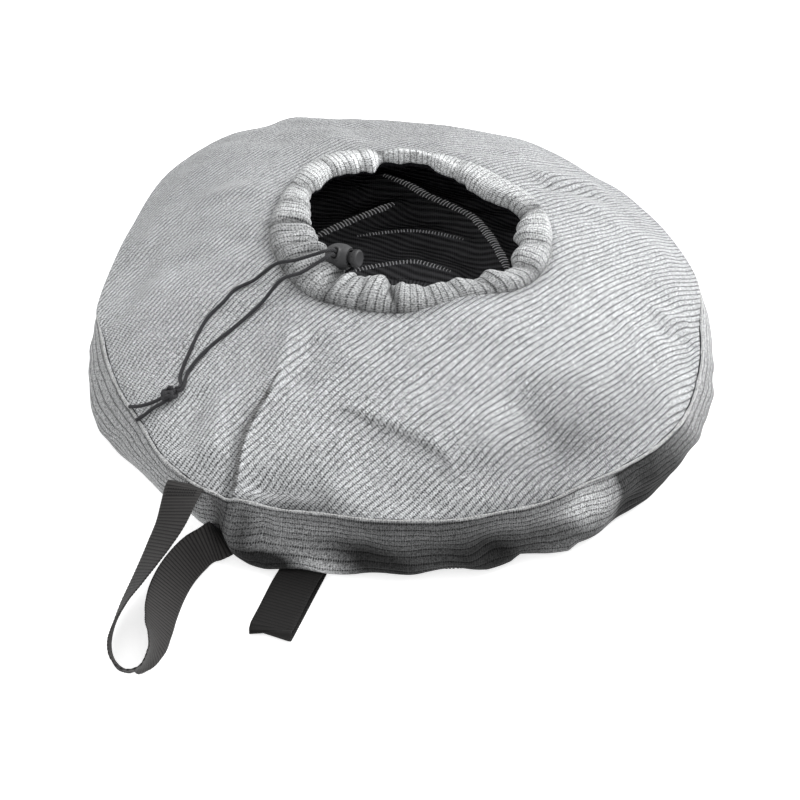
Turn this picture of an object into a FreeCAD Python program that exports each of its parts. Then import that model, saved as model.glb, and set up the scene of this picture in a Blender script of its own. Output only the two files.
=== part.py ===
import FreeCAD, Part
import math, os

# Textile snow sock for a passenger-car tyre, lying relaxed on its wheel side.
#
# Frame: +Z up, origin on the resting plane at the centre of the tread band's outline.
# -Y is the side the pull loops hang from.
#
# Two knitted faces are sewn to a ribbed tread band that runs round the rim.
#   inner side (rests on z = 0): flat annular panel, elasticated mouth in a rolled hem
#   outer side: shallow dome, ending in a gathered drawcord casing (the collar)
# A drawcord runs round inside the collar, leaves it through two buttonholes, passes up
# through a ball cord lock, and ends in two tails knotted together.
# A webbing pull loop is sewn to the band's top and bottom seams; a second, flattened
# loop is sewn to the bottom seam.

V = FreeCAD.Vector
pi = math.pi
ORIGIN = V(0, 0, 0)
UP = V(0, 0, 1)

# ---------------------------------------------------------------- driving dimensions
# radius of the rim's top seam every 10 degrees from +X, relaxed fabric
RIM_TABLE = [300, 296.5, 291, 294, 287, 291, 298, 298, 298, 304, 311, 327,
             333, 331, 322, 306, 294, 291.5, 294, 297, 299, 304, 307, 317,
             320, 312, 309, 309, 310.5, 313.5, 317, 322.5, 326.5, 323, 313, 306]
RIM_HARMONICS = 11          # the outline is a smooth closed curve of this many harmonics
OUTLINE_POINTS = 72         # points each rim or dome outline is interpolated through
LEFT_BULGE = 12.0           # how far the band rolls out on the left, below its seam

PANEL_T = 3.0               # inner side panel
MOUTH_R = 77.5              # centre of the rolled hem of the elasticated mouth
HEM_R = 6.0
HEM_Z = HEM_R + 0.4
ELASTIC_R = 3.0
BAND_TOP_Z = 62.0           # height of the tread band

FABRIC_T = 3.3              # outer panel's fabric, measured vertically
DOME_Z0 = 60.0              # outer panel's rim seam
DOME_RISE = 76.5            # rise from the rim seam to the collar seam
DOME_BULGE = 0.25           # 0 is a straight cone
COLLAR_X, COLLAR_Y = 8.0, 2.0               # the relaxed collar sits a little off centre
COLLAR_SEAM_R = 139.0       # radius of the collar's outer seam
COLLAR_MID_R, COLLAR_MID_Z = 118.0, 141.0
CASING_HALF_W, CASING_HALF_H = 20.0, 9.0    # the flattened casing's section
CASING_T = 2.6

CORD_R = 1.75               # 3.5 mm round elastic cord
CORD_RING_R = 103.5         # drawcord's radius inside the casing
CORD_PITCH = 4.0            # distance between the two cords inside the lock
EXIT_DEG = -137.0           # direction in which the cords leave the collar
WEB_T = 1.6                 # webbing thickness
WEB_W = 36.0                # webbing width, nominal 38 mm tape

THREAD_W, THREAD_H = 1.2, 0.8               # section of the flat seam threads
STITCH_R = 0.6              # round thread runs


# ---------------------------------------------------------------- shared helpers
def unit(vector):
    result = V(vector)
    result.normalize()
    return result


def across(width, along):
    """Unit vector of width, squared up to the unit vector along."""
    return unit(width - along * width.dot(along))


def closed_wire(points):
    curve = Part.BSplineCurve()
    curve.interpolate(Points=points, PeriodicFlag=True)
    return Part.Wire([curve.toShape()])


def loft(wires):
    return Part.makeLoft(wires, True, False)


def tube(points, radius):
    """Round cord through the points."""
    curve = Part.BSplineCurve()
    curve.interpolate(Points=points)
    edge = curve.toShape()
    start_direction = edge.tangentAt(edge.FirstParameter)
    circle = Part.Wire([Part.Circle(points[0], start_direction, radius).toShape()])
    return Part.Wire([edge]).makePipeShell([circle], True, False)


def torus(ring_radius, section_radius, z):
    return Part.makeTorus(ring_radius, section_radius, V(0, 0, z), UP)


def without_slivers(shape):
    """The shape's one solid, or a compound of them, leaving out boolean slivers."""
    solids = [solid for solid in shape.Solids if solid.Volume > 0.5]
    return solids[0] if len(solids) == 1 else Part.makeCompound(solids)


def save(name, shape):
    shape.exportStep("parts/%s.step" % name)


def save_clean(name, shape):
    save(name, without_slivers(shape))


# ---------------------------------------------------------------- rim outline
def rim_terms():
    """(cosine, sine) amplitude of each harmonic of the rim table."""
    count = len(RIM_TABLE)
    terms = []
    for k in range(RIM_HARMONICS + 1):
        scale = (1 if k == 0 else 2) / count
        step = 2 * pi * k / count
        terms.append((scale * sum(r * math.cos(step * i) for i, r in enumerate(RIM_TABLE)),
                      scale * sum(r * math.sin(step * i) for i, r in enumerate(RIM_TABLE))))
    return terms


RIM_TERMS = rim_terms()


def rim_radius(angle):
    return sum(a * math.cos(k * angle) + b * math.sin(k * angle)
               for k, (a, b) in enumerate(RIM_TERMS))


def bulge_share(angle):
    """0 to 1: the stretch of rim, left of the pull loop, where the band rolls outwards."""
    distance = (math.degrees(angle) % 360 - 208) / 26.0
    return math.exp(-distance ** 4)


def rim_point(angle, offset, z, bulge=0.0):
    """Point at an offset outside the rim; bulge is the share of LEFT_BULGE added."""
    radius = rim_radius(angle) + offset + bulge * LEFT_BULGE * bulge_share(angle)
    return V(radius * math.cos(angle), radius * math.sin(angle), z)


def outline_angles():
    return [2 * pi * i / OUTLINE_POINTS for i in range(OUTLINE_POINTS)]


def rim_wire(offset, z, bulge=0.0):
    return closed_wire([rim_point(angle, offset, z, bulge) for angle in outline_angles()])


def rim_slab(offset, z0, z1):
    return Part.Face(rim_wire(offset, z0)).extrude(V(0, 0, z1 - z0))


def rim_thread(offset, z):
    """Flat thread run that follows the rim; offset is its outer edge, z its underside."""
    inside = rim_slab(offset - THREAD_W, z - 0.4, z + 1.6)
    return rim_slab(offset, z, z + THREAD_H).cut(inside)


# ---------------------------------------------------------------- dome surface
# t runs over the outer panel from 0 at the rim seam to 1 at the collar seam
def dome_z(t):
    return DOME_Z0 + DOME_RISE * t * (1 + DOME_BULGE - DOME_BULGE * t)


def dome_radius(angle, t):
    return (1 - t) * rim_radius(angle) + t * COLLAR_SEAM_R


def dome_wire(t, drop=0.0):
    points = []
    for angle in outline_angles():
        radius = dome_radius(angle, t)
        points.append(V(t * COLLAR_X + radius * math.cos(angle),
                        t * COLLAR_Y + radius * math.sin(angle), dome_z(t) - drop))
    return closed_wire(points)


def above_dome(x, y, height):
    """Point at a height above the outer panel, whose t is found by bisection."""
    low, high = -0.2, 1.2
    for _ in range(50):
        t = (low + high) / 2
        dx, dy = x - t * COLLAR_X, y - t * COLLAR_Y
        if math.hypot(dx, dy) > dome_radius(math.atan2(dy, dx), t):
            high = t
        else:
            low = t
    return V(x, y, dome_z(t) + height)


# ================================================================ inner side and band
STITCH_Z = PANEL_T + 1.1
STITCH_RINGS = [88.5, 165.0]            # radii of the hem stitch and reinforcement ring
GORE_SEAMS = [                          # x, y along each seam
    [(-92, 150), (-55, 178), (-10, 206), (30, 226)],
    [(-10, 259), (42, 232), (79, 190), (110, 133)]]

# offset from the rim, z, share of the left bulge
BAND_OUTSIDE = [(-8.5, 0, 0.3), (1.0, 2.2, 0.6), (7.0, 9, 0.9),
                (8.5, 24, 1.0), (7.5, 42, 0.6), (4.6, BAND_TOP_Z, 0.0)]
BAND_INSIDE = [(-5.0, 3.0, 0.4), (1.5, 5.4, 0.65), (4.6, 10, 0.88),
               (5.3, 24, 0.98), (4.3, 42, 0.58), (1.5, BAND_TOP_Z + 0.5, 0.0)]
LIP_OFFSET = -16.0                      # inner edge of the band's lip
PANEL_OFFSET = -16.8                    # edge of the inner panel

BAND_SEAM_ANGLE = math.radians(-113)
BAND_SEAM = [(9, 8.4), (16, 9.4), (26, 9.9), (42, 9.2), (56, 7.2)]   # z, offset of the seam
BAND_SEAM_STANDOFF = 1.5


def inner_panel():
    """Flat annular panel of the wheel side, with the mouth's hole."""
    return rim_slab(PANEL_OFFSET, 0, PANEL_T).cut(
        Part.makeCylinder(MOUTH_R + 7.0, 10, V(0, 0, -2)))


def mouth_hem():
    """Rolled hem round the mouth, hollow for its elastic."""
    return torus(MOUTH_R, HEM_R, HEM_Z).cut(torus(MOUTH_R, ELASTIC_R + 0.3, HEM_Z))


def tread_band():
    """A wall that curves in under the sock to a short lip."""
    outside = loft([rim_wire(*section) for section in BAND_OUTSIDE])
    inside = loft([rim_wire(*section) for section in BAND_INSIDE])
    return outside.cut(inside).cut(rim_slab(LIP_OFFSET, -1, 4))


def inner_stitching():
    runs = [torus(radius, STITCH_R, STITCH_Z) for radius in STITCH_RINGS]
    for seam in GORE_SEAMS:
        runs.append(tube([V(x, y, STITCH_Z) for x, y in seam], STITCH_R))
    return Part.makeCompound(runs)


def band_seam():
    """Short vertical thread run beside the pull loop."""
    return tube([rim_point(BAND_SEAM_ANGLE, offset + BAND_SEAM_STANDOFF, z)
                 for z, offset in BAND_SEAM], STITCH_R)


os.makedirs("parts", exist_ok=True)
save_clean("inner_side_panel", inner_panel())
save_clean("mouth_hem_casing", mouth_hem())
save("mouth_elastic", torus(MOUTH_R, ELASTIC_R, HEM_Z))
save_clean("tread_band", tread_band())
save_clean("bottom_seam_thread", rim_thread(-13.0, 3.4))
save("inner_panel_stitching", inner_stitching())
save("band_closing_seam", band_seam())

# ================================================================ outer side
DOME_STATIONS = [0.0, 0.12, 0.3, 0.55, 0.8, 1.0]    # t of the dome's loft sections
COLLAR_THREAD_R, COLLAR_THREAD_Z = 142.4, 137.4     # outer radius and underside
PANEL_SEAM = [(-150, -262), (-142, -236), (-127, -204),
              (-113, -173), (-104, -148), (-98, -124)]   # x, y


def collar_centre(z):
    return V(COLLAR_X, COLLAR_Y, z)


def outer_panel():
    outside = loft([dome_wire(t) for t in DOME_STATIONS])
    shell = outside.cut(loft([dome_wire(t, FABRIC_T) for t in DOME_STATIONS]))
    return shell.cut(Part.makeCylinder(COLLAR_SEAM_R + 1.0, 100, collar_centre(90)))


def collar_thread():
    """Thread run on the outer panel, just outside the collar."""
    return Part.makeCylinder(COLLAR_THREAD_R, THREAD_H, collar_centre(COLLAR_THREAD_Z)).cut(
        Part.makeCylinder(COLLAR_THREAD_R - THREAD_W, 2.0, collar_centre(COLLAR_THREAD_Z - 0.4)))


save_clean("outer_side_panel", outer_panel())
save_clean("collar_seam_thread", collar_thread())
save_clean("top_seam_thread", rim_thread(-4.0, 64.4))
save("panel_closing_seam", tube([above_dome(x, y, 1.5) for x, y in PANEL_SEAM], 0.8))

# ================================================================ collar and drawcord
# The lock's own axes: plunger axis, cord axis, and the cross axis from cord to cord.
LOCK_CENTRE = V(-54.5, -56.5, 153.2)
CORD_AXIS = unit(V(-0.45, -0.50, 0.74))
PLUNGER_AXIS = across(V(0.869, -0.439, 0.232), CORD_AXIS)
CROSS_AXIS = CORD_AXIS.cross(PLUNGER_AXIS)

STEM_IN_LOCK = [8.0, 0, -9, -16, -21]   # along the cord axis; the first is inside the lock
# radius about the collar's centre, degrees away from the exit direction, z
STEM_TO_COLLAR = [(71.5, 1.6, 130.6), (78.0, 2.6, 129.6), (86.0, 3.5, 134.0)]
STEM_IN_COLLAR = [(93.0, 4.0, 139.3), (98.5, 4.0, COLLAR_MID_Z), (101.6, 5.2, COLLAR_MID_Z),
                  (CORD_RING_R, 8.0, COLLAR_MID_Z)]
BUTTONHOLE_START = (89.0, 3.7, 136.4)
BUTTONHOLE_GAP = 0.9
JOIN_DEG = 14                           # where each stem joins the ring
STEM_END = [(CORD_RING_R, 11, COLLAR_MID_Z), (CORD_RING_R, JOIN_DEG, COLLAR_MID_Z)]


def stem_point(side, radius, degrees, z):
    """The cord on the +cross side (side 1) leaves the collar at the smaller angle."""
    angle = math.radians(EXIT_DEG - side * degrees)
    return collar_centre(z) + V(radius * math.cos(angle), radius * math.sin(angle), 0)


def stem(side):
    """One stem of the drawcord, from inside the lock to the ring."""
    shift = CROSS_AXIS * (CORD_PITCH / 2 * side)
    points = [LOCK_CENTRE + CORD_AXIS * along + shift for along in STEM_IN_LOCK]
    for station in STEM_TO_COLLAR + STEM_IN_COLLAR + STEM_END:
        points.append(stem_point(side, *station))
    return tube(points, CORD_R)


def casing_ring(half_width, half_height):
    """Solid ring of elliptical section about the Z axis."""
    wire = Part.Wire([Part.Ellipse(ORIGIN, half_width, half_height).toShape()])
    wire.rotate(ORIGIN, V(1, 0, 0), 90)
    wire.translate(V(COLLAR_MID_R, 0, COLLAR_MID_Z))
    return Part.Solid(Part.Face(wire).revolve(ORIGIN, UP, 360).Solids[0])


def collar():
    """Flattened tube of fabric that the drawcord runs in, with two buttonholes."""
    casing = casing_ring(CASING_HALF_W, CASING_HALF_H).cut(
        casing_ring(CASING_HALF_W - CASING_T, CASING_HALF_H - CASING_T))
    casing.translate(collar_centre(0))
    for side in (-1, 1):
        path = [stem_point(side, *station) for station in [BUTTONHOLE_START] + STEM_IN_COLLAR]
        casing = casing.cut(tube(path, CORD_R + BUTTONHOLE_GAP))
    return casing


def drawcord():
    """The ring inside the collar and its two stems."""
    cord = Part.makeTorus(CORD_RING_R, CORD_R, ORIGIN, UP, -180, 180, 360 - 2 * JOIN_DEG)
    cord.rotate(ORIGIN, UP, EXIT_DEG + JOIN_DEG)
    cord.translate(collar_centre(COLLAR_MID_Z))
    for side in (-1, 1):
        # a slightly larger ball makes each joint fuse
        ball = Part.makeSphere(CORD_R + 0.02, stem_point(side, *STEM_END[-1]))
        cord = cord.fuse(ball).fuse(stem(side))
    return cord


save_clean("collar_casing", collar())
save_clean("drawcord_ring", drawcord())

# ================================================================ cord lock
# Built with x along the plunger axis, y along the cord axis and z against the cross axis.
# x, radius of the body
LOCK_PROFILE = [(-14.5, 5.5), (-12.6, 9.0), (-8, 11.6), (-2, 12.3), (4, 11.6),
                (8.5, 9.8), (11, 8.2)]
LOCK_END_X = LOCK_PROFILE[-1][0]
BORE_R, BORE_FLOOR_X = 5.75, -12.8
SLOT_HALF_W, SLOT_L = 2.15, 40
PLUNGER_R, PLUNGER_X, PLUNGER_L = 5.60, -4.2, 19.0
PLUNGER_SLOT_X, PLUNGER_SLOT_L = -2.1, 30
BUTTON_R, BUTTON_L, BUTTON_FILLET = 8.2, 6.5, 1.2
BUTTON_TRAVEL = 3.0
SPRING_X, SPRING_L, SPRING_R = -12.1, 7.0, 4.3
SPRING_WIRE_R = 0.45
SPRING_TURNS, POINTS_PER_TURN = 3.5, 16
LOCK_PLACEMENT = FreeCAD.Placement(FreeCAD.Matrix(
    PLUNGER_AXIS.x, CORD_AXIS.x, -CROSS_AXIS.x, LOCK_CENTRE.x,
    PLUNGER_AXIS.y, CORD_AXIS.y, -CROSS_AXIS.y, LOCK_CENTRE.y,
    PLUNGER_AXIS.z, CORD_AXIS.z, -CROSS_AXIS.z, LOCK_CENTRE.z,
    0, 0, 0, 1))


def cord_slot():
    """Obround through the lock that both cords pass."""
    half_pitch = CORD_PITCH / 2
    slot = Part.makeBox(2 * SLOT_HALF_W, SLOT_L, CORD_PITCH,
                        V(-SLOT_HALF_W, -SLOT_L / 2, -half_pitch))
    for side in (-1, 1):
        slot = slot.fuse(Part.makeCylinder(SLOT_HALF_W, SLOT_L,
                                           V(0, -SLOT_L / 2, side * half_pitch), V(0, 1, 0)))
    return slot.removeSplitter()


def lock_body():
    points = [V(x, radius, 0) for x, radius in LOCK_PROFILE]
    first, last = points[0], points[-1]
    axis_start, axis_end = V(first.x, 0, 0), V(last.x, 0, 0)
    curve = Part.BSplineCurve()
    curve.interpolate(Points=points)
    wire = Part.Wire([Part.makeLine(axis_start, first), curve.toShape(),
                      Part.makeLine(last, axis_end), Part.makeLine(axis_end, axis_start)])
    body = Part.Solid(Part.Face(wire).revolve(ORIGIN, V(1, 0, 0), 360).Solids[0])
    body = body.cut(Part.makeCylinder(BORE_R, 30, V(BORE_FLOOR_X, 0, 0), V(1, 0, 0)))
    return body.cut(cord_slot())


def lock_plunger():
    """Slotted plunger with its button."""
    shank = Part.makeCylinder(PLUNGER_R, PLUNGER_L, V(PLUNGER_X, 0, 0), V(1, 0, 0))
    button = Part.makeCylinder(BUTTON_R, BUTTON_L, V(LOCK_END_X + BUTTON_TRAVEL + 0.1, 0, 0),
                               V(1, 0, 0))
    end_circles = [edge for edge in button.Edges if len(edge.Vertexes) == 1]
    button = button.makeFillet(BUTTON_FILLET, end_circles)
    slot_width = CORD_PITCH + 4.0
    slot = Part.makeBox(4.2 + BUTTON_TRAVEL, PLUNGER_SLOT_L, slot_width,
                        V(PLUNGER_SLOT_X, -PLUNGER_SLOT_L / 2, -slot_width / 2))
    return shank.fuse(button).removeSplitter().cut(slot)


def lock_spring():
    steps = int(SPRING_TURNS * POINTS_PER_TURN)
    points = []
    for k in range(steps + 1):
        angle = 2 * pi * k / POINTS_PER_TURN
        points.append(V(SPRING_X + SPRING_L * k / steps,
                        SPRING_R * math.cos(angle), SPRING_R * math.sin(angle)))
    return tube(points, SPRING_WIRE_R)


for name, shape in [("body", lock_body()), ("plunger", lock_plunger()),
                    ("spring", lock_spring())]:
    placed = without_slivers(shape).copy()
    placed.Placement = LOCK_PLACEMENT
    save("cord_lock_" + name, placed)

# ================================================================ cord tails
TAIL_START = LOCK_CENTRE + CORD_AXIS * 16.4
KNOT = above_dome(-212, -173, 7.0)
KNOT_AXIS = unit(V(-0.78, -0.52, -0.34))
KNOT_REACH = 8.6            # from the knot's centre to where the cords meet it


def cord_tail(side, hanging, draped, into_knot, out_of_knot, end):
    """One tail, from the lock to the knot, and its loose end beyond.

    hanging: x, y, z; draped and end: x, y, height above the outer panel;
    into_knot, out_of_knot: shifts from the knot's axis.
    """
    start = TAIL_START + CROSS_AXIS * ((CORD_PITCH / 2 + 0.1) * side)
    points = [start, start + CORD_AXIS * 1.6]
    points += [V(*point) for point in hanging]
    points += [above_dome(*point) for point in draped]
    points.append(KNOT - KNOT_AXIS * KNOT_REACH + V(*into_knot))
    tail = tube(points, CORD_R).fuse(Part.makeSphere(CORD_R, start)).removeSplitter()
    end_points = [KNOT + KNOT_AXIS * KNOT_REACH + V(*out_of_knot)]
    end_points += [above_dome(*point) for point in end]
    return Part.makeCompound([without_slivers(tail), tube(end_points, CORD_R)])


def tail_knot():
    """Three overlapping balls."""
    knot = Part.makeSphere(4.4, KNOT - KNOT_AXIS * 3.4)
    knot = knot.fuse(Part.makeSphere(5.0, KNOT))
    return knot.fuse(Part.makeSphere(4.4, KNOT + KNOT_AXIS * 3.4)).removeSplitter()


save("drawcord_tail_upper", cord_tail(
    side=1,
    hanging=[(-69.0, -67.2, 167.6), (-77.4, -67.6, 164.8), (-96, -67.0, 156.2),
             (-116, -65.5, 149.6)],
    draped=[(-138, -63.5, 5.6), (-160, -69, 3.8), (-179, -102, 3.6), (-196, -143, 4.2)],
    into_knot=(-0.9, 1.6, 0.4),
    out_of_knot=(-0.6, 1.8, 0.2),
    end=[(-228, -177, 4.6), (-238, -176, 4.2)]))
save("drawcord_tail_lower", cord_tail(
    side=-1,
    hanging=[(-67.8, -71.3, 164.2), (-75.4, -74.8, 161.0), (-91, -81, 153.6),
             (-111, -88.5, 147.6)],
    draped=[(-131, -97, 5.4), (-154, -113, 3.8), (-179, -137, 3.6), (-194, -155, 4.2)],
    into_knot=(1.5, -1.8, -0.4),
    out_of_knot=(0.8, -1.9, -0.2),
    end=[(-223, -182.5, 4.6), (-230, -185, 4.6)]))
save_clean("tail_knot", tail_knot())

# ================================================================ pull loop (webbing)
# centre of the webbing, direction of its width; from the top seam to the bottom seam
LOOP_TABLE = [
    ((-192.6, -270.6, 60.5), (29, -20.6, 3)), ((-196.5, -287, 58), (28, -18, 9)),
    ((-201.5, -303.8, 52), (27.4, -16.4, 14)), ((-209.7, -320.5, 45), (26.3, -15, 19)),
    ((-218.1, -335.5, 38), (22, -18, 22)), ((-227.8, -352.5, 30.5), (14, -24, 22.5)),
    ((-238.0, -371.5, 23.5), (7, -26.5, 23.3)), ((-245.0, -394, 18), (4, -26.5, 24)),
    ((-245.8, -416.0, 16), (4.5, -24.5, 26)), ((-240.6, -432.5, 15.6), (5, -22.5, 27.6)),
    ((-230.5, -441.6, 15.5), (3, -21.5, 28.7)), ((-219.6, -440.4, 15.5), (-0.5, -21, 29.2)),
    ((-212.3, -429.0, 15.2), (-4.5, -21.5, 27.6)), ((-208.8, -412.5, 14.4), (-9.0, -23.0, 24.2)),
    ((-207.9, -393.0, 13.6), (-14.0, -22.5, 22.2)), ((-207.0, -373.0, 13.0), (-19.5, -20.0, 20.5)),
    ((-204.2, -354.0, 12.6), (-24.8, -16.7, 19.5)), ((-198.6, -335.2, 12.4), (-27.2, -12.2, 19.7)),
    ((-190.4, -318.6, 12.8), (-28.1, -8.6, 20.6)), ((-180.6, -305.2, 13.4), (-28.0, -4.5, 22)),
    ((-169.0, -295.5, 14.2), (-26.2, -2.2, 24))]
UPPER_END, LOWER_END = 2, 18            # stations where the loop meets its sewn tabs
GROUND_GAP = 0.9
SWING_RELIEF = 36.0                     # slant of the loop's ends, degrees


def web_frame(stations, i):
    """Half-width and half-thickness vectors of the webbing at station i."""
    before = stations[max(i - 1, 0)][0]
    after = stations[min(i + 1, len(stations) - 1)][0]
    along = unit(after - before)
    half_w = across(stations[i][1], along) * (WEB_W / 2)
    return half_w, unit(along.cross(half_w)) * (WEB_T / 2)


def ribbon(stations):
    sections = []
    for i, (c, _) in enumerate(stations):
        w, n = web_frame(stations, i)
        sections.append(Part.makePolygon(
            [c - w - n, c + w - n, c + w + n, c - w + n, c - w - n]))
    return loft(sections)


def clear_ground(stations):
    """Lifts each station so that its lower edge stays just above the ground."""
    lifted = []
    for i, (centre, width) in enumerate(stations):
        half_w, half_t = web_frame(stations, i)
        lowest = abs(half_w.z) + abs(half_t.z) + GROUND_GAP
        lifted.append((V(centre.x, centre.y, max(centre.z, lowest)), width))
    return lifted


STATIONS = [(V(*centre), unit(V(*width))) for centre, width in LOOP_TABLE]
# lifting tilts the webbing, so it takes two passes
STATIONS = clear_ground(clear_ground(STATIONS))
# the loop swings about the line through its two sewn ends
SWING_AXIS = unit(STATIONS[UPPER_END][0] - STATIONS[LOWER_END][0])


def relieve(shape, at, ahead):
    """Trims a ribbon's end at a slant on the side that swings towards its tab."""
    centre, width = STATIONS[at]
    along = unit(STATIONS[ahead][0] - centre)
    width = across(width, along)
    normal = along.cross(width)
    if SWING_AXIS.cross(width).dot(along) > 0:
        width = width * -1
    start = centre + along * 1.2
    side, back = width * 26, along * 14
    slant = along * (26 * math.tan(math.radians(SWING_RELIEF)))
    corners = [start, start + side + slant, start + side - back,
               start - side - back, start - side, start]
    face = Part.Face(Part.makePolygon([corner - normal * 14 for corner in corners]))
    return shape.cut(face.extrude(normal * 28))


def pull_loop():
    loop = without_slivers(ribbon(STATIONS[UPPER_END:LOWER_END + 1]))
    loop = relieve(loop, UPPER_END, UPPER_END + 1)
    return relieve(loop, LOWER_END, LOWER_END - 1)


def loop_tab(stations, at, ahead):
    """Sewn tab, cut off square where the loop begins."""
    centre = STATIONS[at][0]
    along = unit(STATIONS[ahead][0] - centre)
    return ribbon(stations).cut(Part.makeCylinder(40, 30, centre - along * 0.2, along))


def loop_tack(start, end):
    """Three rows of thread across the webbing between two stations."""
    length = WEB_W - 8
    (start_c, start_w), (end_c, end_w) = STATIONS[start], STATIONS[end]
    along = unit(end_c - start_c)
    rows = []
    for k in (1, 2, 3):
        share = 0.16 * k
        width = across(unit(start_w * (1 - share) + end_w * share), along)
        centre = start_c * (1 - share) + end_c * share
        centre = centre + along.cross(width) * (WEB_T / 2 + 1.7)
        rows.append(Part.makeCylinder(0.4, length, centre - width * (length / 2), width))
    return Part.makeCompound(rows)


save_clean("pull_loop_webbing", pull_loop())
save_clean("pull_loop_upper_tab", loop_tab(STATIONS[:UPPER_END + 1], UPPER_END, UPPER_END + 1))
save_clean("pull_loop_lower_tab", loop_tab(STATIONS[LOWER_END:], LOWER_END, LOWER_END - 1))
save("pull_loop_upper_tack", loop_tack(0, 1))
save("pull_loop_lower_tack", loop_tack(20, 19))

# ================================================================ lower pull loop, on the ground
LOWER_DIR = unit(V(-0.345, -0.939, 0))              # direction it points
LOWER_ACROSS = V(-LOWER_DIR.y, LOWER_DIR.x, 0)      # along its width
LOWER_ROOT = rim_point(math.radians(-104.6), 0, 0)  # on the rim outline
LOWER_W = WEB_W + 2
# undersides and tops of the two layers
LAYER_1_Z = 0.4
LAYER_1_TOP = LAYER_1_Z + WEB_T
LAYER_2_Z = LAYER_1_TOP + 2.2
LAYER_2_TOP = LAYER_2_Z + WEB_T
# distances from the root
TAB_START, TAB_L = 8.4, 5.6
TACK_ROWS = (9.9, 12.2)
LOOP_START, FOLD_END = 15.5, 95.0
LAYER_1_START = LOOP_START + 2.1


def lower_point(distance, z, sideways=0.0):
    return LOWER_ROOT + LOWER_DIR * distance + LOWER_ACROSS * sideways + V(0, 0, z)


def lower_loop():
    """Two layers of tape joined by a round fold at the far end."""
    mid_z = (LAYER_1_Z + LAYER_2_TOP) / 2
    outer_r = (LAYER_2_TOP - LAYER_1_Z) / 2
    inner_r = (LAYER_2_Z - LAYER_1_TOP) / 2
    fold = FOLD_END - outer_r
    P = lower_point
    edges = [
        Part.makeLine(P(LAYER_1_START, LAYER_1_Z), P(fold, LAYER_1_Z)),
        Part.Arc(P(fold, LAYER_1_Z), P(FOLD_END, mid_z), P(fold, LAYER_2_TOP)).toShape(),
        Part.makeLine(P(fold, LAYER_2_TOP), P(LOOP_START, LAYER_2_TOP)),
        Part.makeLine(P(LOOP_START, LAYER_2_TOP), P(LOOP_START, LAYER_2_Z)),
        Part.makeLine(P(LOOP_START, LAYER_2_Z), P(fold, LAYER_2_Z)),
        Part.Arc(P(fold, LAYER_2_Z), P(fold + inner_r, mid_z), P(fold, LAYER_1_TOP)).toShape(),
        Part.makeLine(P(fold, LAYER_1_TOP), P(LAYER_1_START, LAYER_1_TOP)),
        Part.makeLine(P(LAYER_1_START, LAYER_1_TOP), P(LAYER_1_START, LAYER_1_Z))]
    face = Part.Face(Part.Wire(edges))
    face.translate(LOWER_ACROSS * (-LOWER_W / 2))
    return face.extrude(LOWER_ACROSS * LOWER_W)


def lower_tab():
    tabs = []
    for z in (LAYER_1_Z, LAYER_2_Z):
        corner = lower_point(TAB_START, z, -LOWER_W / 2)
        tab = Part.makeBox(TAB_L, LOWER_W, WEB_T)
        tab.Placement = FreeCAD.Placement(FreeCAD.Matrix(
            LOWER_DIR.x, LOWER_ACROSS.x, 0, corner.x,
            LOWER_DIR.y, LOWER_ACROSS.y, 0, corner.y,
            0, 0, 1, corner.z,
            0, 0, 0, 1))
        tabs.append(tab)
    return Part.makeCompound(tabs)


def lower_tack():
    """Rows of thread across the top of the tab."""
    length = WEB_W - 6
    return Part.makeCompound([
        Part.makeCylinder(0.4, length, lower_point(distance, LAYER_2_TOP + 0.75, -length / 2),
                          LOWER_ACROSS)
        for distance in TACK_ROWS])


save_clean("lower_loop_webbing", lower_loop())
save("lower_loop_tab", lower_tab())
save("lower_loop_tack", lower_tack())
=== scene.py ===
"""Round knitted cover lying on its inner side: +Z up, front toward -Y, left toward -X.

A ribbed outer panel domes from the rim up to a rolled collar round the top opening. A band
closes the side down to the inner side, which rests near z = 0 and has a gathered mouth. A
drawcord leaves the collar through a cord lock, and two webbing loops lie at the front left.

Lengths are in mm unless noted. Angles run from +X toward +Y, so -90 degrees is the front.
"""

import math

import bmesh
import bpy
import numpy as np
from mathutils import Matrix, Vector


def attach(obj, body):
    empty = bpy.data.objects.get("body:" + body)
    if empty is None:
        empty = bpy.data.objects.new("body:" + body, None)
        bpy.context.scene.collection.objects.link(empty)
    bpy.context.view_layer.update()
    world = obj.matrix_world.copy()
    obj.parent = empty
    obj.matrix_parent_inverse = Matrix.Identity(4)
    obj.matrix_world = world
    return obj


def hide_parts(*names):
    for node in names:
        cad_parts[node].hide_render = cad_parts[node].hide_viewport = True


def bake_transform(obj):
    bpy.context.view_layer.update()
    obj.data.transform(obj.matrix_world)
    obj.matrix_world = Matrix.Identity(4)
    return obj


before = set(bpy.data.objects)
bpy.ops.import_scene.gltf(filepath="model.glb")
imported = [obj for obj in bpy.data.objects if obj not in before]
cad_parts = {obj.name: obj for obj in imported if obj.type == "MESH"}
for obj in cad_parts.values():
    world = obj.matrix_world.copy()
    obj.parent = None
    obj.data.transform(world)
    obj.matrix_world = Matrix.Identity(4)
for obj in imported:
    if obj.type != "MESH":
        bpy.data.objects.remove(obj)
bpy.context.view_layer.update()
MM = 0.001
TAU = 2 * math.pi
UP = np.array([0, 0, 1.0])

# Radii of the rim about the origin, every 10 degrees.
RIM_RADII = [300, 296.5, 291, 294, 287, 291, 298, 298, 298, 304, 311, 327,
             333, 331, 322, 306, 294, 291.5, 294, 297, 299, 304, 307, 317,
             320, 312, 309, 309, 310.5, 313.5, 317, 322.5, 326.5, 323, 313, 306]
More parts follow.
